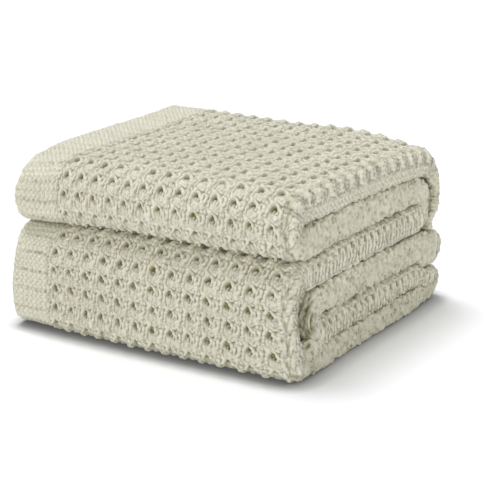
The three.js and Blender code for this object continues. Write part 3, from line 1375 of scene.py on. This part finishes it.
def grid_object(name: str, points: Array, outward: Array, flat: Array, yarn: Array,
                material: bpy.types.Material) -> bpy.types.Object:
    """Make a piece from a grid whose points are already placed.

    Args:
        name: the piece's name.
        points: places in mm, rows by columns by 3.
        outward: directions that the faces should look, the same shape.
        flat: places on the flat cloth in metres, rows by columns by 2.
        yarn: run along the yarn in mm, place across it and painted shade, rows by columns by 3.
        material: the finish.

    Returns:
        The piece's object, at the origin.
    """
    rows, columns = points.shape[:2]
    shape = bmesh.new()
    bmesh.ops.create_grid(shape, x_segments=columns - 1, y_segments=rows - 1, size=1.0)
    mesh = bpy.data.meshes.new(name)
    shape.to_mesh(mesh)
    shape.free()
    count = len(mesh.vertices)
    place = np.empty(count * 3)
    mesh.vertices.foreach_get("co", place)
    place = place.reshape(-1, 3)
    span = place.max(axis=0) - place.min(axis=0)
    column = np.rint((place[:, 0] - place[:, 0].min()) / span[0] * (columns - 1)).astype(int)
    row = np.rint((place[:, 1] - place[:, 1].min()) / span[1] * (rows - 1)).astype(int)
    mesh.vertices.foreach_set("co", (points[row, column] * MM).ravel())
    mesh.update()
    corner = np.empty(len(mesh.loops), dtype=np.int32)
    mesh.loops.foreach_get("vertex_index", corner)
    looks = np.empty(len(mesh.polygons) * 3)
    mesh.polygons.foreach_get("normal", looks)
    wanted = outward[row, column][corner[::4]]
    if float((looks.reshape(-1, 3) * wanted).sum()) < 0.0:
        mesh.flip_normals()
        mesh.loops.foreach_get("vertex_index", corner)
    layer = mesh.uv_layers.new(name="cloth")
    layer.data.foreach_set("uv", flat[row, column][corner].ravel())
    attribute = mesh.attributes.new("yarn", "FLOAT_VECTOR", "POINT")
    attribute.data.foreach_set("vector", yarn[row, column].ravel())
    mesh.polygons.foreach_set("use_smooth", np.ones(len(mesh.polygons), dtype=bool))
    mesh.materials.append(material)
    piece = bpy.data.objects.new(name, mesh)
    bpy.context.scene.collection.objects.link(piece)
    return piece


@dataclass(frozen=True)
class KnitPatch:
    """One visible piece of the throw's surface, with its stitches raised.

    Attributes:
        name: the piece's name.
        facing: the part of the plies' outline it covers.
        start: the row where it starts, and how many mm past it.
        end: the row where it ends, and how many mm past it.
        spacing: distance between its points, in mm.
        low: place in X where a flat piece starts, if the face doesn't start further on.
    """

    name: str
    facing: Facing
    start: tuple[str, float]
    end: tuple[str, float]
    spacing: float
    low: float = -HALF_WIDTH

    def build(self, throw: "KnittedThrow", material: bpy.types.Material) -> bpy.types.Object:
        """Build the piece.

        Args:
            throw: the throw it belongs to.
            material: the yarn's finish.

        Returns:
            The piece's object.
        """
        strip = throw.strip
        stations = strip.between(strip.place(*self.start), strip.place(*self.end), self.spacing,
                                 self.facing.faces)
        if self.facing in (Facing.OUTER, Facing.INNER):
            shape = throw.outline.flat(self.facing, stations, self.spacing, self.low)
        else:
            shape = throw.outline.rounded(self.facing, stations, self.spacing)
        relief = throw.knit.read(shape, stations, self.facing)
        outward = stations.laid_out(shape.normal_x, shape.normal_offset, moved=False)
        base = stations.laid_out(shape.x, shape.offset)
        points = throw.stack.move(base + outward * relief.lift[..., None])
        flat = np.stack([shape.across, stations.arc[:, None] + 0.0 * shape.across], axis=-1) * MM
        yarn = np.stack([relief.run, relief.side, relief.painted_shade], axis=-1)
        return grid_object(self.name, points, outward, flat, yarn, material)


@dataclass(frozen=True)
class PlyEnds:
    """The edges of the four plies at one end of the strip, four soft rolls side by side.

    Attributes:
        name: the piece's name.
        row: the row of the strip's table where the end is.
        way: 1 where the strip ends there, -1 where it starts there.
        spacing: distance between points across, in mm.
        steps: points over the thickness.
        side_gap: how far it stays inside the -X side, in mm.
        fold_gap: how far it stays inside the +X fold, in mm.
        valley: height of the valleys between two rolls, in mm.
        plump: how much of the plain stitch's relief it shows.
    """

    name: str
    row: str
    way: float
    spacing: float = 1.8
    steps: int = 41
    side_gap: float = 1.5
    fold_gap: float = 0.4
    valley: float = -2.2
    plump: float = 0.7

    def build(self, throw: "KnittedThrow", material: bpy.types.Material) -> bpy.types.Object:
        """Build the piece.

        Args:
            throw: the throw it belongs to.
            material: the yarn's finish.

        Returns:
            The piece's object.
        """
        outline, jersey = throw.outline, throw.knit.jersey
        spot = throw.strip.dense.cut(np.array([throw.strip.place(self.row, 0.0)]))
        thick, out_y, out_z = float(spot.thick[0]), float(spot.out_y[0]), float(spot.out_z[0])
        offset = np.linspace(-1.0, 1.0, self.steps)[:, None] * thick / 2
        low = self.side_gap - outline.half_width
        high = outline.fold_x(offset, thick, float(spot.corner[0])) - self.fold_gap
        x = low + (high - low) * np.linspace(0.0, 1.0, int(2 * outline.half_width / self.spacing))[None, :]
        level = offset + 0.0 * x
        radius = outline.ply * thick / 2
        rolls = np.full(offset.shape, self.valley)
        for middle in outline.middles:
            inside = 1.0 - ((offset - middle * thick) / radius) ** 2
            roll = radius * np.sqrt(np.maximum(inside, 0.0))
            rolls = np.maximum(rolls, np.where(inside > 0.0, roll, self.valley))
        plain = jersey.read(x / jersey.width, offset / jersey.height + 0.0 * x)
        fade = smooth_step(high - x, 0.0, 6.0) * smooth_step(x - low, -0.1, 4.0)
        forward = wandered(rolls * fade + plain.lift * self.plump, x, level, (0.3, 3.0, 12))
        along_y, along_z = -out_z * self.way, out_y * self.way
        points = np.stack([x, float(spot.y[0]) + offset * out_y + forward * along_y,
                           float(spot.z[0]) + offset * out_z + forward * along_z], axis=-1)
        outward = np.zeros(points.shape) + np.array([0.0, along_y, along_z])
        # painted shade in the valleys between the rolls and in the stitch's creases
        painted_shade = np.maximum(smooth_step(-forward, 0.2, 2.0), self.plump * plain.painted_shade)
        return grid_object(self.name, throw.stack.move(points), outward, np.stack([x, level], axis=-1) * MM,
                           np.stack([plain.run, plain.side, painted_shade], axis=-1), material)


@dataclass(frozen=True)
class ClothBody:
    """The whole cloth as one thin sheet through all four plies, under the raised stitches.

    Attributes:
        width: of the cloth before it was folded, in mm.
        thickness: of the sheet inside the knit, in mm.
        under_face: how far the outer plies' sheet lies under the faces, in mm.
        least_outer: least offset of the outer plies, as a share of the thickness.
        inner: offset of the inner plies, as a share of the thickness.
        edge_gap: how far the sheet's edge stays inside the -X side, in mm.
        fold_gap: how far its outer +X fold's centre stays inside the +X side, in mm.
        fold_reach: how far that fold reaches beyond its centre, in mm.
        turn_reach: how far the -X fold reaches beyond its centre, in mm.
        tuck: how far the inner +X fold stays behind the outer one and reaches out again, in mm.
        straight_steps: points over a ply's width.
        turn_steps: points round a fold, with those it shares with the plies.
        bend: most degrees that the strip turns from one station to the next.
        stride: most mm from one station to the next.
        floor_gap: least height of the sheet, in mm.
        depth: how much painted shade the sheet gets, as it lies far down in the knit, from 0 to 1.
    """

    width: float = 1300.0
    thickness: float = 1.6
    under_face: float = 5.6
    least_outer: float = 0.27
    inner: float = 0.129
    edge_gap: float = 5.0
    fold_gap: float = 15.0
    fold_reach: float = 7.5
    turn_reach: float = 5.0
    tuck: float = 4.0
    straight_steps: int = 13
    turn_steps: int = 9
    bend: float = 13.0
    stride: float = 15.0
    floor_gap: float = 2.0
    depth: float = 0.6

    def across(self, thick: Array, outline: PlyOutline) -> tuple[Array, Array]:
        """Lay the cloth's width through the four plies.

        Args:
            thick: thickness of the plies, one for each station.
            outline: the plies' outline.

        Returns:
            X and offset from the strip's middle, rows for stations.
        """
        t = thick[:, None]
        outer = np.maximum(0.5 * t - self.under_face, self.least_outer * t)
        inner = self.inner * t
        straight = np.linspace(0.0, 1.0, self.straight_steps)[None, :]
        turn = np.pi / 2 - np.pi * np.linspace(0.0, 1.0, self.turn_steps)[None, 1:-1]
        edge_x, fold_x = self.edge_gap - outline.half_width, outline.half_width - self.fold_gap
        back_x, tuck_x = outline.turn_round - outline.half_width, fold_x - self.tuck
        parts = [
            (edge_x + (fold_x - edge_x) * straight, outer + 0.0 * straight),
            (fold_x + self.fold_reach * np.cos(turn), outer * np.sin(turn)),
            (fold_x + (back_x - fold_x) * straight, -outer + 0.0 * straight),
            (back_x - self.turn_reach * np.cos(turn),
             -(outer + inner) / 2 - (outer - inner) / 2 * np.sin(turn)),
            (back_x + (tuck_x - back_x) * straight, -inner + 0.0 * straight),
            (tuck_x + self.tuck * np.cos(turn), -inner * np.sin(turn)),
            (tuck_x + (edge_x + self.tuck - tuck_x) * straight, inner + 0.0 * straight),
        ]
        x = np.concatenate([part[0] + 0.0 * t for part in parts], axis=1)
        offset = np.concatenate([part[1] + 0.0 * t for part in parts], axis=1)
        return x, offset

    def build(self, throw: "KnittedThrow", material: bpy.types.Material) -> bpy.types.Object:
        """Build the sheet.

        Args:
            throw: the throw it belongs to.
            material: the yarn's finish.

        Returns:
            The sheet's object.
        """
        dense = throw.strip.dense
        heading = np.unwrap(np.arctan2(dense.out_z, dense.out_y))
        pace = np.diff(dense.arc) / self.stride + np.abs(np.diff(heading)) / math.radians(self.bend)
        paced = np.concatenate([[0.0], np.cumsum(pace)])
        count = int(paced[-1]) + 2
        stations = dense.cut(np.interp(np.linspace(0.0, paced[-1], count), paced, np.arange(len(paced))))
        x, offset = self.across(stations.thick, throw.outline)
        points = stations.laid_out(x, offset)
        points[..., 2] = np.maximum(points[..., 2], self.floor_gap)
        outer_ply = np.arange(x.shape[1])[None, :] < self.straight_steps
        outward = stations.laid_out(0.0 * x, 0.0 * x + outer_ply, moved=False)
        walked = np.linspace(0.0, self.width, x.shape[1])[None, :] + 0.0 * x
        flat = np.stack([walked, stations.arc[:, None] + 0.0 * x], axis=-1) * MM
        # painted shade: the whole sheet takes this share of the olive shade colour
        yarn = np.zeros(points.shape) + np.array([0.0, 0.0, self.depth])
        sheet = grid_object("throw_cloth", throw.stack.move(points), outward, flat, yarn, material)
        wall = sheet.modifiers.new("cloth thickness", "SOLIDIFY")
        wall.thickness = self.thickness * MM
        wall.offset = 0.0
        return sheet


# ---------------------------------------------------------------- the finish


@dataclass(frozen=True)
class CottonYarnFinish:
    """Undyed spun cotton yarn, chunky and loosely twisted.

    Attributes:
        crown: colour on top of the stitches.
        painted_shade: painted shade, the colour that stands for the light lost down in the gaps and creases
            between strands.
        twist: length of one turn of the yarn's plies, in mm.
        slant: how far the plies slant across the yarn, in radians of their turn.
        ply_bump: height of the plies' bump against the fuzz's.
        bump: how high the fuzz stands, in mm.
        fibre: size of the loose fibre's fuzz, in mm.
        shade: size of the slow change of tone along the cloth, in mm.
    """

    crown: str = "#eeecdd"
    painted_shade: str = "#79733e"
    twist: float = 3.2
    slant: float = 2.2
    ply_bump: float = 0.35
    bump: float = 0.7
    fibre: float = 1.1
    shade: float = 45.0

    def material(self) -> bpy.types.Material:
        """Build the material.

        Returns:
            The material.
        """
        # Spun cotton scatters light evenly and its loose fibres catch a soft sheen at the edges, so the eye
        # reads a matt, warm white. The olive brown between the strands is painted shade, mixed in by the yarn
        # attribute's third value.
        material = empty_material("spun cotton yarn, natural")
        tree = material.node_tree
        place = add_node(tree, "ShaderNodeTexCoord")
        yarn = add_node(tree, "ShaderNodeAttribute", {"attribute_name": "yarn"})
        parts = add_node(tree, "ShaderNodeSeparateXYZ", links={0: yarn.outputs["Vector"]})
        fuzz = add_node(tree, "ShaderNodeTexNoise", {"Scale": 1.0 / (self.fibre * MM), "Detail": 3.0,
                                                    "Roughness": 0.65}, {"Vector": place.outputs["Object"]})
        slow = add_node(tree, "ShaderNodeTexNoise", {"Scale": 1.0 / (self.shade * MM), "Detail": 1.0},
                        {"Vector": place.outputs["Object"]})
        turns = add_node(tree, "ShaderNodeMath", {"operation": "MULTIPLY", 1: 2.0 * math.pi / self.twist},
                         {0: parts.outputs["X"]})
        slant = add_node(tree, "ShaderNodeMath", {"operation": "MULTIPLY_ADD", 1: self.slant},
                         {0: parts.outputs["Y"], 2: turns})
        plies = add_node(tree, "ShaderNodeMath", {"operation": "SINE"}, {0: slant})
        height = add_node(tree, "ShaderNodeMath", {"operation": "MULTIPLY_ADD", 1: self.ply_bump},
                          {0: plies, 2: fuzz.outputs["Fac"]})
        tone = add_node(tree, "ShaderNodeMapRange",
                        {"From Min": 0.25, "From Max": 0.75, "To Min": 0.86, "To Max": 1.06},
                        {"Value": fuzz.outputs["Fac"]})
        slow_tone = add_node(tree, "ShaderNodeMapRange",
                             {"From Min": 0.3, "From Max": 0.7, "To Min": 0.97, "To Max": 1.02},
                             {"Value": slow.outputs["Fac"]})
        both = add_node(tree, "ShaderNodeMath", {"operation": "MULTIPLY"}, {0: tone, 1: slow_tone})
        # painted shade: the crown colour goes over to the olive shade colour as the yarn attribute's third
        # value rises
        colour = add_node(tree, "ShaderNodeMix", {"data_type": "RGBA", 6: linear_from_hex(self.crown),
                                                  7: linear_from_hex(self.painted_shade)}, {0: parts.outputs["Z"]})
        toned = add_node(tree, "ShaderNodeVectorMath", {"operation": "SCALE"},
                         {0: colour.outputs[2], "Scale": both})
        bump = add_node(tree, "ShaderNodeBump", {"Strength": 0.8, "Distance": self.bump * MM},
                        {"Height": height})
        shader = add_node(tree, "ShaderNodeBsdfPrincipled",
                          {"Roughness": 0.93, "IOR": 1.5, "Specular IOR Level": 0.25, "Sheen Weight": 0.3,
                           "Sheen Roughness": 0.55, "Sheen Tint": linear_from_hex("#f6f2e4")},
                          {"Base Color": toned, "Normal": bump})
        add_node(tree, "ShaderNodeOutputMaterial", links={"Surface": shader})
        return material


@dataclass(frozen=True)
class StudioFloorFinish:
    """Seamless white paper, matt and plain.

    Attributes:
        paper: the paper's colour.
        tint: a little blue in it, which the throw's warm light on it cancels.
        seen: how white the camera sees it, so that only the shadow is grey.
        glow: light added to what the camera sees of it, so that it reads as white.
        painted_shadow_reach: how far the painted shadow, a dark line where the throw touches the paper,
            reaches, in mm.
        painted_shadow_power: how fast that painted shadow darkens towards the throw.
    """

    paper: str = "#f8f8f8"
    tint: str = "#fafbff"
    seen: float = 0.96
    glow: float = 0.09
    painted_shadow_reach: float = 23.0
    painted_shadow_power: float = 1.4

    def material(self) -> bpy.types.Material:
        """Build the material.

        Returns:
            The material.
        """
        # Uncoated white paper has no shine, so the eye sees no floor at all, only the soft shadow and
        # the dark line where the throw touches it, which light between the throw and the paper can't reach.
        # That line is partly real shadow and partly painted shadow: the camera sees the paper darkened near
        # the throw.
        material = empty_material("seamless white paper")
        tree = material.node_tree
        rays = add_node(tree, "ShaderNodeLightPath")
        seen = add_node(tree, "ShaderNodeMath", {"operation": "MULTIPLY", 1: self.glow},
                        {0: rays.outputs["Is Camera Ray"]})
        # painted shadow: ambient occlusion darkens the paper that the camera sees near the throw
        near = add_node(tree, "ShaderNodeAmbientOcclusion", {"samples": 12, "Distance": self.painted_shadow_reach * MM})
        painted_contact_shadow = add_node(tree, "ShaderNodeMath", {"operation": "POWER", 1: self.painted_shadow_power},
                          {0: near.outputs["AO"]})
        shown = add_node(tree, "ShaderNodeMath", {"operation": "MULTIPLY", 1: self.seen}, {0: painted_contact_shadow})
        white = add_node(tree, "ShaderNodeMapRange", {"To Min": linear_from_hex(self.paper)[0]},
                         {"Value": rays.outputs["Is Camera Ray"], "To Max": shown})
        cool = add_node(tree, "ShaderNodeVectorMath",
                        {"operation": "SCALE", 0: linear_from_hex(self.tint)[:3]},
                        {"Scale": white})
        paper = add_node(tree, "ShaderNodeBsdfDiffuse", links={"Color": cool})
        light = add_node(tree, "ShaderNodeEmission", links={"Strength": seen})
        both = add_node(tree, "ShaderNodeAddShader", links={0: paper, 1: light})
        add_node(tree, "ShaderNodeOutputMaterial", links={"Surface": both})
        return material


# ---------------------------------------------------------------- the throw and its studio


STRIP_ROWS = (
    #        name                y        z       heading thick ribs fine braid first last pitch corner
    StripRow("tucked end",       134.5,   82.0,   90,     9.0,  0.0, 0.0, 0.0, -104, 141.0, 21.0, 6.0),
    StripRow("back wrap",        151.0,   118.0,  90,     16.0, 0.1, 0.0, 0.0, -102, 141.0, 21.0, 8.0),
    StripRow("back of A",        116.0,   161.75, 180,    32.5, 1.0, 0.0, 0.0, -100, 142.0, 21.0, 10.0),
    StripRow("front of A",       -120.5,  163.0,  180,    31.5, 1.0, 0.0, 0.1, -100, 142.0, 20.5, 9.0),
    StripRow("upper front fold", -139.25, 145.0,  270,    29.5, 0.1, 0.0, 0.7, -100, 142.0, 20.5, 14.0),
    StripRow("front of B",       -120.5,  128.5,  360,    35.0, 0.0, 0.0, 0.1, -100, 142.0, 20.5, 8.0),
    StripRow("middle of B",      -60.0,   131.25, 360,    32.5, 0.0, 0.0, 0.0, -100, 142.0, 20.5, 5.0),
    StripRow("back of B",        105.375, 131.25, 360,    30.5, 0.0, 0.0, 0.0, -100, 142.0, 20.5, 5.0),
    StripRow("inner back fold",  121.25,  115.375, 270,   29.5, 0.0, 1.0, 0.5, -106, 140.0, 20.5, 8.0),
    StripRow("back of C",        105.375, 99.5,   180,    30.0, 0.9, 1.0, 0.0, -112, 138.0, 20.5, 6.0),
    StripRow("middle of C",      -40.0,   99.5,   180,    31.5, 0.9, 1.0, 0.0, -108, 146.0, 21.5, 6.0),
    StripRow("front of C",       -116.0,  97.0,   180,    30.0, 0.8, 0.9, 0.1, -108, 146.0, 20.0, 7.0),
    StripRow("lower shoulder",   -138.5,  88.5,   232,    34.0, 0.2, 0.7, 0.7, -108, 146.0, 20.0, 12.0),
    StripRow("lower front fold", -149.0,  56.0,   270,    27.0, 0.0, 0.5, 1.0, -108, 146.0, 20.0, 15.0),
    StripRow("heel",             -148.25, 27.0,   270,    28.5, 0.0, 0.0, 0.9, -108, 146.0, 20.0, 12.0),
    StripRow("foot",             -136.0,  12.0,   360,    24.0, 0.0, 0.0, 0.4, -108, 146.0, 20.0, 9.0),
    StripRow("full front of F",  -120.5,  17.25,  360,    34.5, 0.0, 0.0, 0.0, -108, 146.0, 20.0, 6.0),
    StripRow("front of F",       -85.0,   12.25,  360,    24.5, 0.0, 0.0, 0.0, -108, 146.0, 20.5, 3.5),
    StripRow("back of F",        88.0,    12.25,  360,    24.5, 0.0, 0.0, 0.0, -108, 146.0, 20.5, 3.5),
    StripRow("sunk end of F",    144.0,   9.25,   360,    18.5, 0.0, 0.0, 0.2, -108, 146.0, 20.5, 6.0),
    StripRow("lower back fold",  153.25,  19.0,   90,     18.5, 0.5, 1.0, 0.3, -108, 146.0, 20.5, 8.0),
    StripRow("sunk end of E",    144.0,   28.75,  180,    18.5, 0.8, 1.0, 0.0, -108, 146.0, 20.5, 6.0),
    StripRow("back of E",        88.0,    37.5,   180,    25.5, 0.8, 1.0, 0.0, -108, 146.0, 20.5, 6.0),
    StripRow("front of E",       -97.0,   37.0,   180,    27.0, 0.7, 1.0, 0.0, -108, 146.0, 20.5, 6.0),
    StripRow("inner front fold", -107.0,  49.0,   90,     28.5, 0.1, 1.0, 0.6, -108, 146.0, 20.5, 8.0),
    StripRow("front of D",       -89.625, 66.75,  0,      29.5, 0.0, 0.0, 0.0, -108, 146.0, 20.5, 6.0),
    StripRow("middle of D",      -30.0,   66.75,  0,      32.5, 0.0, 0.0, 0.0, -108, 146.0, 20.5, 5.0),
    StripRow("back of D",        100.0,   66.75,  0,      32.5, 0.0, 0.0, 0.0, -108, 146.0, 20.5, 5.0),
    StripRow("swell of D",       142.0,   59.5,   0,      39.0, 0.3, 1.0, 0.0, -108, 146.0, 20.5, 6.0),
    StripRow("free end of D",    159.0,   59.5,   0,      22.0, 0.8, 1.0, 0.0, -108, 146.0, 20.5, 8.0),
)

SETTLES = (
    #      name                       x     y     z    reach x, y, z     move x, y, z
    Settle("full back of the top",   -95,  105,  178,   75,  60,  40,    0.0, 0.0,  3.0),
    Settle("full back edge",          80,  135,  178,   42,  45,  35,    0.0, 0.0,  4.0),
    Settle("full back corner at -X", -150,  150,  180,   36,  36,  25,    0.0, 0.0,  2.5),
    Settle("low back corner at +X",   165,  150,  172,   42,  44,  34,    0.0, -1.0, -8.0),
    Settle("low front corner at -X", -165, -150,  172,   26,  30,  26,    2.0, 2.0, -7.0),
    Settle("crown of the top",        10,  -20,  178,   95,  80,  22,    0.0, 0.0,  2.0),
    Settle("sag of the upper nose",  -160, -148,  120,   50,  28,  15,    0.0, -2.0, -7.0),
    Settle("full heel",               20, -160,    6,  150,  22,  13,    0.0, -5.0, 0.0),
    Settle("full toe at +X",         160, -140,    6,   30,  45,  24,    8.0, 0.0, 0.0),
    Settle("full foot at +X",        165,    0,    4,   25,  90,  24,    4.5, 0.0, 0.0),
    Settle("soft corner of the end", -166,  162,   60,   15,  15,  26,    5.0, -4.0, 0.0),
    Settle("tucked toe at the back",  165,  160,    4,   20,  30,  14,   -3.5, 0.0, 0.0),
    Settle("round shoulder at -X",   -165, -150,   80,   14,  45,  17,    5.0, 0.0, 0.0),
    Settle("full ends at the back",   165,  150,   48,   30,  45,  34,    2.0, 0.0, 0.0),
    Settle("soft corner at the front", -160, -120, 182,   30,  40,  20,    0.0, 0.0, -2.0),
    Settle("full side at -X, upper", -165,  -70,  145,   14, 110,  26,   -4.5, 0.0, 0.0),
    Settle("full side at -X, lower", -165,  -70,   50,   14, 110,  34,   -5.0, 0.0, 0.0),
)

PATCHES = (
    #         name                    facing         start and end, with mm past the row   spacing, low
    KnitPatch("lower_front_knit",    Facing.OUTER, ("front of C", -15.0), ("foot", 14.0), 0.82),
    KnitPatch("upper_front_knit",    Facing.OUTER, ("front of A", 0.0), ("front of B", 14.0), 0.84),
    KnitPatch("top_knit",            Facing.OUTER, ("back of A", 0.0), ("front of A", 0.0), 1.0),
    KnitPatch("back_wrap_knit",      Facing.OUTER, ("tucked end", 0.0), ("back of A", 0.0), 1.3),
    KnitPatch("lower_back_knit",     Facing.OUTER, ("back of F", 25.0), ("sunk end of E", 18.0), 1.4),
    KnitPatch("underside_knit",      Facing.OUTER, ("foot", 14.0), ("back of F", 25.0), 3.0),
    KnitPatch("free_end_under_knit", Facing.OUTER, ("back of D", 5.0), ("free end of D", 0.0), 2.0),
    KnitPatch("free_end_over_knit",  Facing.INNER, ("back of D", 5.0), ("free end of D", 0.0), 2.0),
    KnitPatch("wrap_lining_knit",    Facing.INNER, ("front of C", 0.0), ("foot", 10.0), 1.5, 60.0),
    KnitPatch("inner_nose_knit",     Facing.INNER, ("front of E", -20.0), ("front of D", 20.0), 1.6, 60.0),
    KnitPatch("upper_fold_knit",     Facing.FOLD, ("tucked end", 0.0), ("front of C", -15.0), 1.06),
    KnitPatch("lower_fold_knit",     Facing.FOLD, ("front of C", -15.0), ("free end of D", 0.0), 1.06),
    KnitPatch("first_edge_knit",     Facing.FIRST_EDGE, ("tucked end", 0.0), ("free end of D", 0.0), 1.8),
    KnitPatch("second_edge_knit",    Facing.SECOND_EDGE, ("tucked end", 0.0), ("free end of D", 0.0), 2.0),
    KnitPatch("turned_side_knit",    Facing.TURN, ("tucked end", 0.0), ("free end of D", 0.0), 2.1),
)

PLY_ENDS = (
    PlyEnds("free_ply_ends", "free end of D", 1.0),
    PlyEnds("tucked_ply_ends", "tucked end", -1.0, 3.0, 17),
)


@dataclass
class KnittedThrow:
    """The folded throw: one cloth body, with its raised knit wherever it can be seen.

    Attributes:
        strip: how the strip is folded.
        outline: the plies' outline across it.
        stack: how the folded stack has settled.
        knit: the stitches.
        cloth: the sheet through all the plies.
        finish: the yarn.
    """

    strip: FoldedStrip = field(default_factory=lambda: FoldedStrip(STRIP_ROWS))
    outline: PlyOutline = PlyOutline()
    stack: SettledStack = SettledStack(SETTLES)
    knit: ThrowKnit = field(default_factory=ThrowKnit)
    cloth: ClothBody = ClothBody()
    finish: CottonYarnFinish = CottonYarnFinish()

    def build(self) -> bpy.types.Object:
        """Build the throw, hang its pieces under the root body and hide the imported blanket.

        Returns:
            The cloth body.
        """
        material = self.finish.material()
        cloth = self.cloth.build(self, material)
        pieces = [patch.build(self, material) for patch in PATCHES + PLY_ENDS]
        for piece in [cloth] + pieces:
            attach(piece, "root")
            LOG.info("%s: %d faces", piece.name, len(piece.data.polygons))
        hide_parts("knitted_blanket")
        return cloth


@dataclass(frozen=True)
class Lamp:
    """A broad studio lamp: its strength, breadth in degrees, colour and where its light comes from."""

    name: str
    strength: float
    angle: float
    colour: str
    comes_from: tuple[float, float, float]


LAMPS = (
    Lamp("overhead softbox", 1.88, 28.0, "#ffffff", (-0.35, 0.10, 1.0)),
    Lamp("low fill screen", 1.46, 60.0, "#fffce4", (0.53, -0.82, 0.12)),
)


@dataclass(frozen=True)
class Studio:
    """A white paper floor under an overhead softbox, with a low fill screen beside the camera.

    Attributes:
        floor_size: half the floor's side, in metres.
        eye: place of the camera, in mm.
        turn: degrees that the camera stands round towards +X.
        tilt: degrees that it looks down.
        lens: focal length, in mm, on a 36 mm film.
        daylight: strength of the even light.
        floor_finish: the paper.
    """

    floor_size: float = 12.0
    eye: tuple[float, float, float] = (887.38, -1353.73, 555.48)
    turn: float = 32.603
    tilt: float = 16.835
    lens: float = 115.76
    daylight: float = 0.46
    floor_finish: StudioFloorFinish = StudioFloorFinish()

    def build(self) -> None:
        """Build the floor, the light and the camera."""
        self._floor()
        self._light()
        self._camera()

    def _floor(self) -> None:
        """Lay the floor under the throw."""
        shape = bmesh.new()
        bmesh.ops.create_grid(shape, x_segments=1, y_segments=1, size=self.floor_size)
        mesh = bpy.data.meshes.new("paper_floor")
        shape.to_mesh(mesh)
        shape.free()
        mesh.materials.append(self.floor_finish.material())
        floor = bpy.data.objects.new("paper_floor", mesh)
        bpy.context.scene.collection.objects.link(floor)

    def _light(self) -> None:
        """Add the lamps and the even light, which the camera sees as white."""
        for kind in LAMPS:
            lamp = bpy.data.lights.new(kind.name, "SUN")
            lamp.energy = kind.strength
            lamp.angle = math.radians(kind.angle)
            lamp.color = linear_from_hex(kind.colour)[:3]
            stand = bpy.data.objects.new(kind.name, lamp)
            stand.rotation_euler = Vector(kind.comes_from).to_track_quat("Z", "Y").to_euler()
            bpy.context.scene.collection.objects.link(stand)
        world = bpy.data.worlds.new("white studio")
        bpy.context.scene.world = world
        world.use_nodes = True
        tree = world.node_tree
        tree.nodes.clear()
        rays = add_node(tree, "ShaderNodeLightPath")
        strength = add_node(tree, "ShaderNodeMapRange", {"To Min": self.daylight, "To Max": 1.0},
                            {"Value": rays.outputs["Is Camera Ray"]})
        sky = add_node(tree, "ShaderNodeBackground", {"Color": linear_from_hex("#ffffff")},
                       {"Strength": strength})
        add_node(tree, "ShaderNodeOutputWorld", links={"Surface": sky})

    def _camera(self) -> None:
        """Set up the camera."""
        lens = bpy.data.cameras.new("studio camera")
        lens.lens = self.lens
        lens.sensor_width = 36.0
        lens.clip_end = 100.0
        camera = bpy.data.objects.new("studio camera", lens)
        turn, tilt = math.radians(self.turn), math.radians(self.tilt)
        forward = Vector((-math.sin(turn) * math.cos(tilt), math.cos(turn) * math.cos(tilt), -math.sin(tilt)))
        camera.rotation_euler = forward.to_track_quat("-Z", "Y").to_euler()
        camera.location = Vector(self.eye) * MM
        bpy.context.scene.collection.objects.link(camera)
        bpy.context.scene.camera = camera


def main() -> None:
    """Build the studio and the throw."""
    logging.basicConfig(level=logging.INFO, format="%(name)s: %(message)s")
    bpy.context.scene.view_settings.view_transform = "Standard"
    Studio().build()
    throw = KnittedThrow().build()
    LOG.info("%s done", throw.name)


if __name__ == "__main__":
    main()
